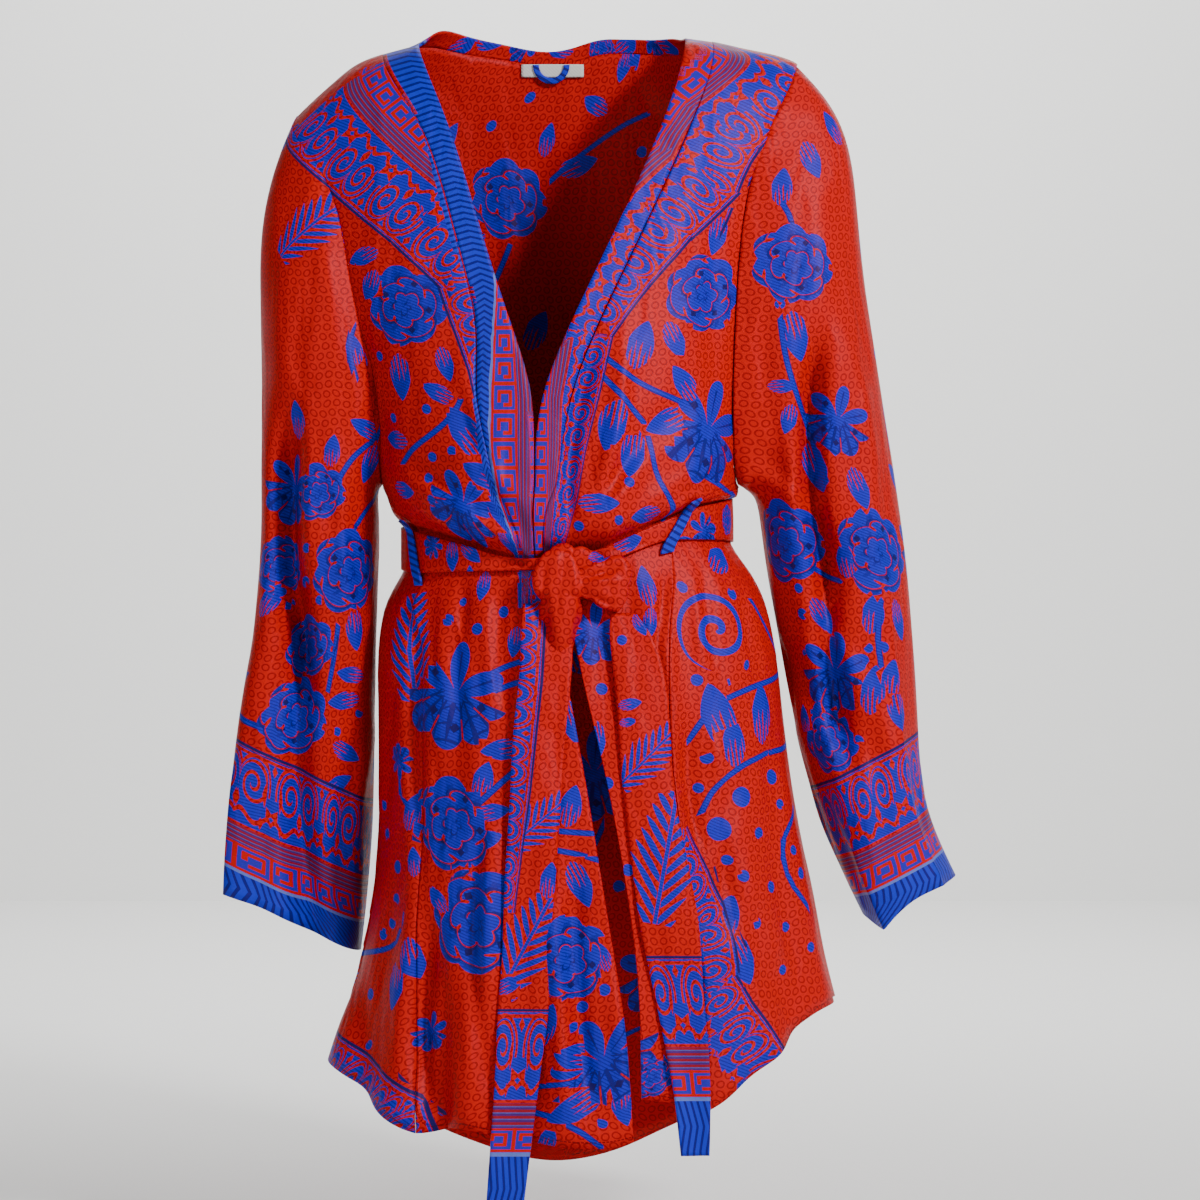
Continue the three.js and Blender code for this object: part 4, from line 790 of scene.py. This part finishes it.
    if edge is not None:
        along, across = edge(points, from_front, from_back, angle)
        chosen = (face_mean(across[corners]) < 0.116)[owner]
        found = corners[chosen]
        border[chosen] = np.stack([along[found], across[found], np.ones(len(found))], axis=1)

    above = np.full(len(corners), 1.0)
    if hem:
        bins = np.round(np.degrees(angle) / 3).astype(int)
        lowest = {turn: height[bins == turn].min() for turn in np.unique(bins)}
        turns = np.array(sorted(lowest))
        hem_height = np.interp(np.degrees(angle) / 3, turns, [lowest[turn] for turn in turns])
        above = (height - hem_height)[corners]
    for name, values in (("cloth", np.column_stack([flat, above])), ("motif", motif), ("stem", stem),
                         ("border", border)):
        layer = mesh.attributes.new(name, "FLOAT_VECTOR", "CORNER")
        layer.data.foreach_set("vector", values.astype(np.float32).ravel())


def shown_piece(mesh, name, node, material):
    """Shows a mesh in place of a node of the frame."""
    mesh.shade_smooth()
    mesh.materials.clear()
    mesh.materials.append(material)
    piece = placed(name, mesh)
    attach(piece, "root")
    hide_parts(node)
    return piece


def cloth_piece(name, node, line=None, creases=(), flat=None, area=None, held="hung", slot="printed_silk",
                material=satin, turn_at=BODY_MIDDLE, folds=1.0, pulls=(), **laid):
    """Makes a cloth piece on its solid, creases it, prints it and shows it in place of the solid.

    A pull closes a gap: round a place of the photo, the cloth moves across and up, in millimetres.
    """
    mesh = fine_mesh(name, node)
    points = corner_points(mesh)
    tube = around(points, line)
    outward = points[:, :2] - tube[0] if line else np.array([[0.0, -1.0]])
    outward /= np.hypot(*outward.T)[:, None] + 1e-6
    lift = crease_lift(points, creases, turn_at, np.abs(tube[1]) > math.radians(90)) * folds
    shown = photo_place(points)
    points[:, 0] += outward[:, 0] * lift * SIDEWAYS_SHARE
    points[:, 1] += outward[:, 1] * lift
    for x, y, radius, across, up in pulls:
        share = np.exp(-((shown[:, 0] - x) ** 2 + (shown[:, 1] - y) ** 2) / radius ** 2)
        points[:, 0] += share * across * 0.001
        points[:, 2] += share * up * 0.001
    mesh.vertices.foreach_set("co", points.ravel())
    mesh.update()
    lay_print(mesh, tube, **laid)
    piece = shown_piece(mesh, name, node, material)


def node_points(*nodes):
    """The places of the corners of one or more solids."""
    return np.concatenate([corner_points(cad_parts[node].data) for node in nodes])


body_line = middle_line(node_points("back", "front_right", "front_left"))
body_print = {"folds": 1.3, "motifs": BODY_MOTIFS, "stems": BODY_STEMS, "borders": BORDER_PATHS,
              "chart": BAND_CHART, "back": (BACK_MOTIFS, BACK_STEMS), "hem": True}
cloth_piece("back_cloth", "back", body_line, BODY_CREASES, (0.62, 0.90), 0.43, **body_print)


# The two fronts: the same cloth, cut from shoulder to hem. They meet at the waist and part below.
cloth_piece("right_front_cloth", "front_right", body_line, BODY_CREASES, (0.20, 0.82), 0.098, **body_print)
cloth_piece("left_front_cloth", "front_left", body_line, BODY_CREASES, (0.16, 0.80), 0.064,
            pulls=[(761, 147, 22, 2.4, 0.0)], **body_print)


# The sleeves: one wide tube each, set into the armholes, with the whole border round the cuff.
RIGHT_SLEEVE_MOTIFS = {
    ROSE: [(351, 571, 44), (318, 492, 30), (284, 566, 32), (296, 717, 42, 10), (312, 646, 34)],
    PEONY: [(296, 489, 40, 20)],
    FERN: [(310, 226, 48, 52)],
    LEAF: [(282, 128, 26, 200), (366, 429, 18, -60), (400, 436, 18, 80), (370, 464, 21, 200),
        (332, 451, 17, 10), (356, 630, 22, 170), (351, 675, 17, -80), (344, 701, 19, -95),
        (246, 717, 22, 10), (270, 600, 20, 30), (262, 520, 20, 170), (346, 752, 18, 120),
        (336, 786, 20, 60), (374, 770, 18, 30), (298, 420, 20), (262, 640, 20, 20), (354, 350, 16)],
    DOT: [(360, 713, 6), (337, 732, 6), (305, 582, 7), (306, 548, 6), (292, 604, 7), (278, 592, 6),
        (262, 548, 6), (320, 600, 6)],
}
RIGHT_SLEEVE_STEMS = [
    [(372, 442), (352, 456), (336, 484)], [(384, 488), (370, 500), (357, 524)],
    [(338, 626), (334, 660), (328, 690)], [(246, 674), (252, 700), (262, 728)],
    [(372, 442), (386, 420), (384, 396)], [(352, 330), (348, 350), (354, 372)],
]
LEFT_SLEEVE_MOTIFS = {
    ROSE: [(795, 264, 42), (786, 541, 44), (878, 552, 46), (826, 738, 38)],
    PEONY: [(834, 672, 46, 10), (838, 420, 40, 20)],
    LEAF: [(796, 336, 26, 170), (782, 386, 14, 90), (789, 419, 16, 200), (782, 187, 20),
        (812, 160, 22, 150), (832, 128, 22, -40), (815, 468, 26, 170), (858, 488, 22, 170),
        (823, 616, 20, 160), (893, 678, 20, 10), (872, 614, 22, 20), (896, 620, 22, 170),
        (900, 712, 20, 180), (872, 690, 26, 10), (804, 720, 16), (846, 560, 20)],
    DOT: [(802, 614, 7), (883, 647, 7), (799, 588, 6), (806, 654, 7), (780, 304, 6), (868, 648, 6),
        (860, 740, 6)],
}
LEFT_SLEEVE_STEMS = [
    [(780, 318), (786, 360), (798, 400), (811, 438)], [(811, 438), (818, 460), (826, 480)],
    [(816, 570), (826, 576), (836, 580)], [(880, 600), (876, 640), (880, 660)],
    [(784, 206), (790, 216), (792, 224)],
]
SLEEVE_SIDE = {
    # place outward from the sleeve's front line and height in millimetres, half length, turn
    ROSE: [(92, -150, 38, 0), (96, -482, 38, 0)],
    LEAF: [(82, -92, 22, -30), (104, -204, 22, 160), (84, -330, 22, -50), (112, -434, 20, 40),
        (88, -540, 22, 190)],
    FERN: [(96, -282, 42, 12)],
    PEONY: [(98, -382, 44, 0)],
    DOT: [(80, -236, 7, 0), (114, -344, 7, 0), (82, -438, 7, 0)],
}


def cuff_places(outer, inner):
    """Gives the distance of points from a cuff's straight edge, and their place along it."""
    outer, inner = np.array(outer), np.array(inner)
    run = (inner - outer) / math.hypot(*(inner - outer))
    up = np.array([-run[1], run[0]]) * (1 if run[0] > 0 else -1)

    def places(points, from_front, from_back, angle):
        along = np.where(np.abs(angle) > BEHIND_TURN, from_back, from_front)
        return along, (points[:, [0, 2]] - outer) @ up

    return places


mirrored_side = {kind: [(-x, y, half, -turn) for x, y, half, turn in rows]
                 for kind, rows in SLEEVE_SIDE.items()}
cloth_piece("right_sleeve_cloth", "sleeve_right", middle_line(node_points("sleeve_right")),
            RIGHT_SLEEVE_CREASES, (0.34, 0.60), 0.163, side=mirrored_side, turn_at=318,
            motifs=RIGHT_SLEEVE_MOTIFS, stems=RIGHT_SLEEVE_STEMS, borders=BORDER_PATHS[:1],
            edge=cuff_places((-0.254, -0.645), (-0.156, -0.692)))
cloth_piece("left_sleeve_cloth", "sleeve_left", middle_line(node_points("sleeve_left")),
            LEFT_SLEEVE_CREASES, (0.34, 0.66), 0.176, side=SLEEVE_SIDE, turn_at=845,
            motifs=LEFT_SLEEVE_MOTIFS, stems=LEFT_SLEEVE_STEMS,
            edge=cuff_places((0.300, -0.631), (0.229, -0.668)))


# The neckband: a double strip sewn up one front, round the neck and down the other. The border print
# runs along it, so it shows the chevron on one side and the scroll on the other.
NECK_MOTIFS = {
    LEAF: [(-112, 6, 24, 80), (-84, 12, 22, 100), (-14, 6, 18, -80), (52, 8, 20, 70), (118, 6, 24, 100)],
    PEONY: [(-46, 10, 20, 70), (88, 10, 22, -60)],
    ROSE: [(26, 8, 18)],
}
cloth_piece("neckband_cloth", "neckband", body_line, BODY_CREASES, (0.028, 1.03), 0.022, held="folded",
            slot="border_silk", borders=BORDER_PATHS[:2], chart=BAND_CHART, back=(NECK_MOTIFS, ()),
            pulls=[(532, 545, 13, 0.0, -8.0)])


# The belt: a double strip of the same cloth, drawn round the waist through its loops.
BELT_CREASES = [
    (425, 566, 540, 572, -1.6, 4), (430, 548, 545, 562, 1.2, 4), (480, 574, 548, 568, 1.2, 3),
    (600, 552, 732, 512, -1.6, 4), (610, 562, 735, 526, 1.2, 4), (640, 546, 700, 538, -1, 3),
]
BELT_MOTIFS = {
    PEONY: [(434, 545, 16, 100), (704, 532, 22, -60)],
    LEAF: [(452, 556, 16, 180), (470, 552, 16, 130), (628, 542, 18, 75), (470, 575, 10),
        (682, 544, 16, 80)],
    ROSE: [(728, 520, 16)],
}
BELT_BACK_MOTIFS = {
    PEONY: [(-112, -392, 16, 60), (4, -392, 17, -70)],
    LEAF: [(-60, -388, 16, 80), (108, -388, 16, -80), (34, -392, 15, 100)],
    ROSE: [(66, -392, 15)],
}
cloth_piece("belt_cloth", "belt_waist", body_line, BELT_CREASES, (0.031, 0.66), 0.0173, held="folded",
            motifs=BELT_MOTIFS, back=(BELT_BACK_MOTIFS, ()), pulls=[(735, 500, 12, -0.6, 2.0)])


# The knot: the belt's ends cross in front, and one of them folds over the other and hangs down. It is
# the same double cloth, pulled tight, so both lobes are puffed and creased toward their middle.
KNOT_LOBES = [
    # the middle in the photo, its place in depth, half depth and the sinking of its foot in
    # millimetres, then its outline
    ((560, 590), -114.0, 8.0, 17.0, [(538, 562), (545, 552), (558, 548), (571, 553), (579, 568),
     (580, 600), (577, 630), (572, 656), (560, 668), (549, 656), (544, 630), (541, 600)]),
    ((602, 584), -109.0, 11.0, 0.0, [(574, 572), (590, 564), (606, 558), (622, 555), (631, 566),
     (628, 586), (618, 612), (608, 610), (592, 600), (576, 592)]),
    ((572, 557), -108.0, 8.0, 0.0, [(548, 552), (556, 545), (574, 548), (590, 550), (604, 557),
     (594, 566), (566, 568)]),
]
KNOT_CREASES = [
    (546, 552, 550, 640, -2.2, 4), (556, 548, 557, 640, 1.6, 4), (566, 552, 562, 640, -2.4, 4),
    (573, 560, 570, 640, 1.2, 3), (578, 580, 624, 562, -2.6, 4), (578, 584, 626, 582, 1.8, 4),
    (578, 588, 618, 606, -2.6, 4), (578, 574, 604, 562, 1.2, 3), (584, 590, 600, 606, 1.2, 3),
]
knot_form = bmesh.new()
camera_distance = -1000 * CAMERA_PLACE[1]
for (middle_x, middle_y), place_y, half_depth, sink, outline in KNOT_LOBES:
    lobe = bmesh.ops.create_uvsphere(knot_form, u_segments=72, v_segments=48, radius=1)["verts"]
    bearings = [math.atan2(middle_y - y, x - middle_x) for x, y in outline]
    reaches = [math.hypot(x - middle_x, y - middle_y) for x, y in outline]
    turns, spans = zip(*sorted(zip(bearings, reaches)))
    turns = [turns[-1] - math.tau, *turns, turns[0] + math.tau]
    spans = [spans[-1], *spans, spans[0]]
    scale = PIXEL * (camera_distance + place_y) / camera_distance
    middle_place_x = CAMERA_PLACE[0] + (middle_x - PHOTO_MIDDLE) * scale
    middle_place_z = CAMERA_PLACE[2] - (middle_y - PHOTO_MIDDLE) * scale
    for vert in lobe:
        flat_reach = math.hypot(vert.co.x, vert.co.y)
        bearing = math.atan2(vert.co.y, vert.co.x)
        span = float(np.interp(bearing, turns, spans)) * scale * flat_reach ** 0.8
        depth = place_y / 1000 - half_depth / 1000 * math.copysign(abs(vert.co.z) ** 0.5, vert.co.z)
        depth += sink / 1000 * max(0.0, -math.sin(bearing)) * flat_reach ** 2
        place_x = middle_place_x + span * math.cos(bearing)
        vert.co = (place_x, depth, middle_place_z + span * math.sin(bearing))
bmesh.ops.recalc_face_normals(knot_form, faces=knot_form.faces)
knot_mesh = mesh_of("knot_cloth", knot_form)
knot_points = corner_points(knot_mesh)
knot_points[:, 1] -= crease_lift(knot_points, KNOT_CREASES)
knot_mesh.vertices.foreach_set("co", knot_points.ravel())
lay_print(knot_mesh, around(knot_points, None), {LEAF: [(600, 556, 12, 80)]})
shown_piece(knot_mesh, "knot_cloth", "belt_knot", satin)


# The belt's two ends: double strips with the whole border across their tips. They hang from the knot.
TAIL_HALF_WIDTH = 0.021


def tail_places(heights, line_heights, middles):
    """Gives the places on a belt end's border from its heights in the photo and its middle line."""
    stops = (NO_BORDER, BORDER_END, SCROLL_END, SCROLL_START, KEY_END, KEY_START, CHEVRON_END, 0.0)

    def places(points, from_front, from_back, angle):
        across = np.interp(photo_place(points)[:, 1], heights, stops)
        middle_x = np.interp(points[:, 2], line_heights, middles)
        return points[:, 0] - middle_x + TAIL_HALF_WIDTH, across

    return places


for name, node, creases, flat, area, motifs, borders, heights in (
        ("right_tail_cloth", "belt_tail_right",
         [(560, 620, 545, 880, 1.5, 7), (572, 640, 562, 800, -1.6, 5), (536, 700, 520, 1000, -1.4, 5),
          (530, 880, 512, 1190, 1.6, 8), (550, 760, 532, 1040, -1.0, 5)],
         (0.037, 0.445), 0.0155,
         {FERN: [(537, 824, 40, 50), (526, 945, 56, 28)], LEAF: [(508, 985, 16, 70), (549, 880, 18, 10)]},
         [(0.014, [(545, 590, 72), (540, 680, 72), (529, 790, 50), (519, 870, 30)])],
         (998, 1006, 1012, 1103, 1128, 1152, 1156, 1222)),
        ("left_tail_cloth", "belt_tail_left",
         [(618, 640, 632, 860, 1.5, 7), (640, 640, 652, 900, -1.6, 6), (655, 880, 672, 1100, 1.5, 8),
          (622, 760, 648, 1000, -1.4, 4), (664, 860, 690, 1100, -1.2, 5)],
         (0.040, 0.39), 0.013,
         {FERN: [(648, 757, 40, 45), (666, 858, 66, 10)], DOT: [(622, 640, 6)],
          LEAF: [(630, 704, 12, 80), (628, 722, 9, 80), (640, 625, 12, 150)]},
         [], (946, 953, 959, 1047, 1070, 1097, 1101, 1152))):
    line_heights, sides = middle_line(node_points(node))
    tail_middle = (sides[:, 0] + sides[:, 1]) / 2
    cloth_piece(name, node, None, creases, flat, area, motifs=motifs, borders=borders,
                edge=tail_places(heights, line_heights, tail_middle))


# Two belt loops of the blue part of the print, sewn to the side seams above and below the belt, and
# the hanging loop of the same, sewn into the neck.
for name, node in (("right_loop_cloth", "belt_loop_right"), ("left_loop_cloth", "belt_loop_left"),
                   ("hanging_loop_cloth", "hanging_loop")):
    cloth_piece(name, node, slot="border_silk", material=blue_satin)


# The label: a blank piece of white woven tape inside the back of the neck, under the hanging loop.
label_tape = bpy.data.materials.new("label_tape")
label_tape.use_nodes = True
label_surface = label_tape.node_tree.nodes["Principled BSDF"]
label_surface.inputs["Base Color"].default_value = (0.62, 0.60, 0.58, 1)
label_surface.inputs["Roughness"].default_value = 0.55
label_u, label_v, _ = attribute(label_tape.node_tree, "cloth")
label_rib = (label_u * 2400.0).sin() * (label_v * 2400.0).sin()
label_bump = label_rib.node("ShaderNodeBump", i0=0.4, i1=0.0002, i3=label_rib)
label_tape.node_tree.links.new(label_bump.socket, label_surface.inputs["Normal"])
cloth_piece("label_tape", "neck_label", slot="label_tape", material=label_tape)
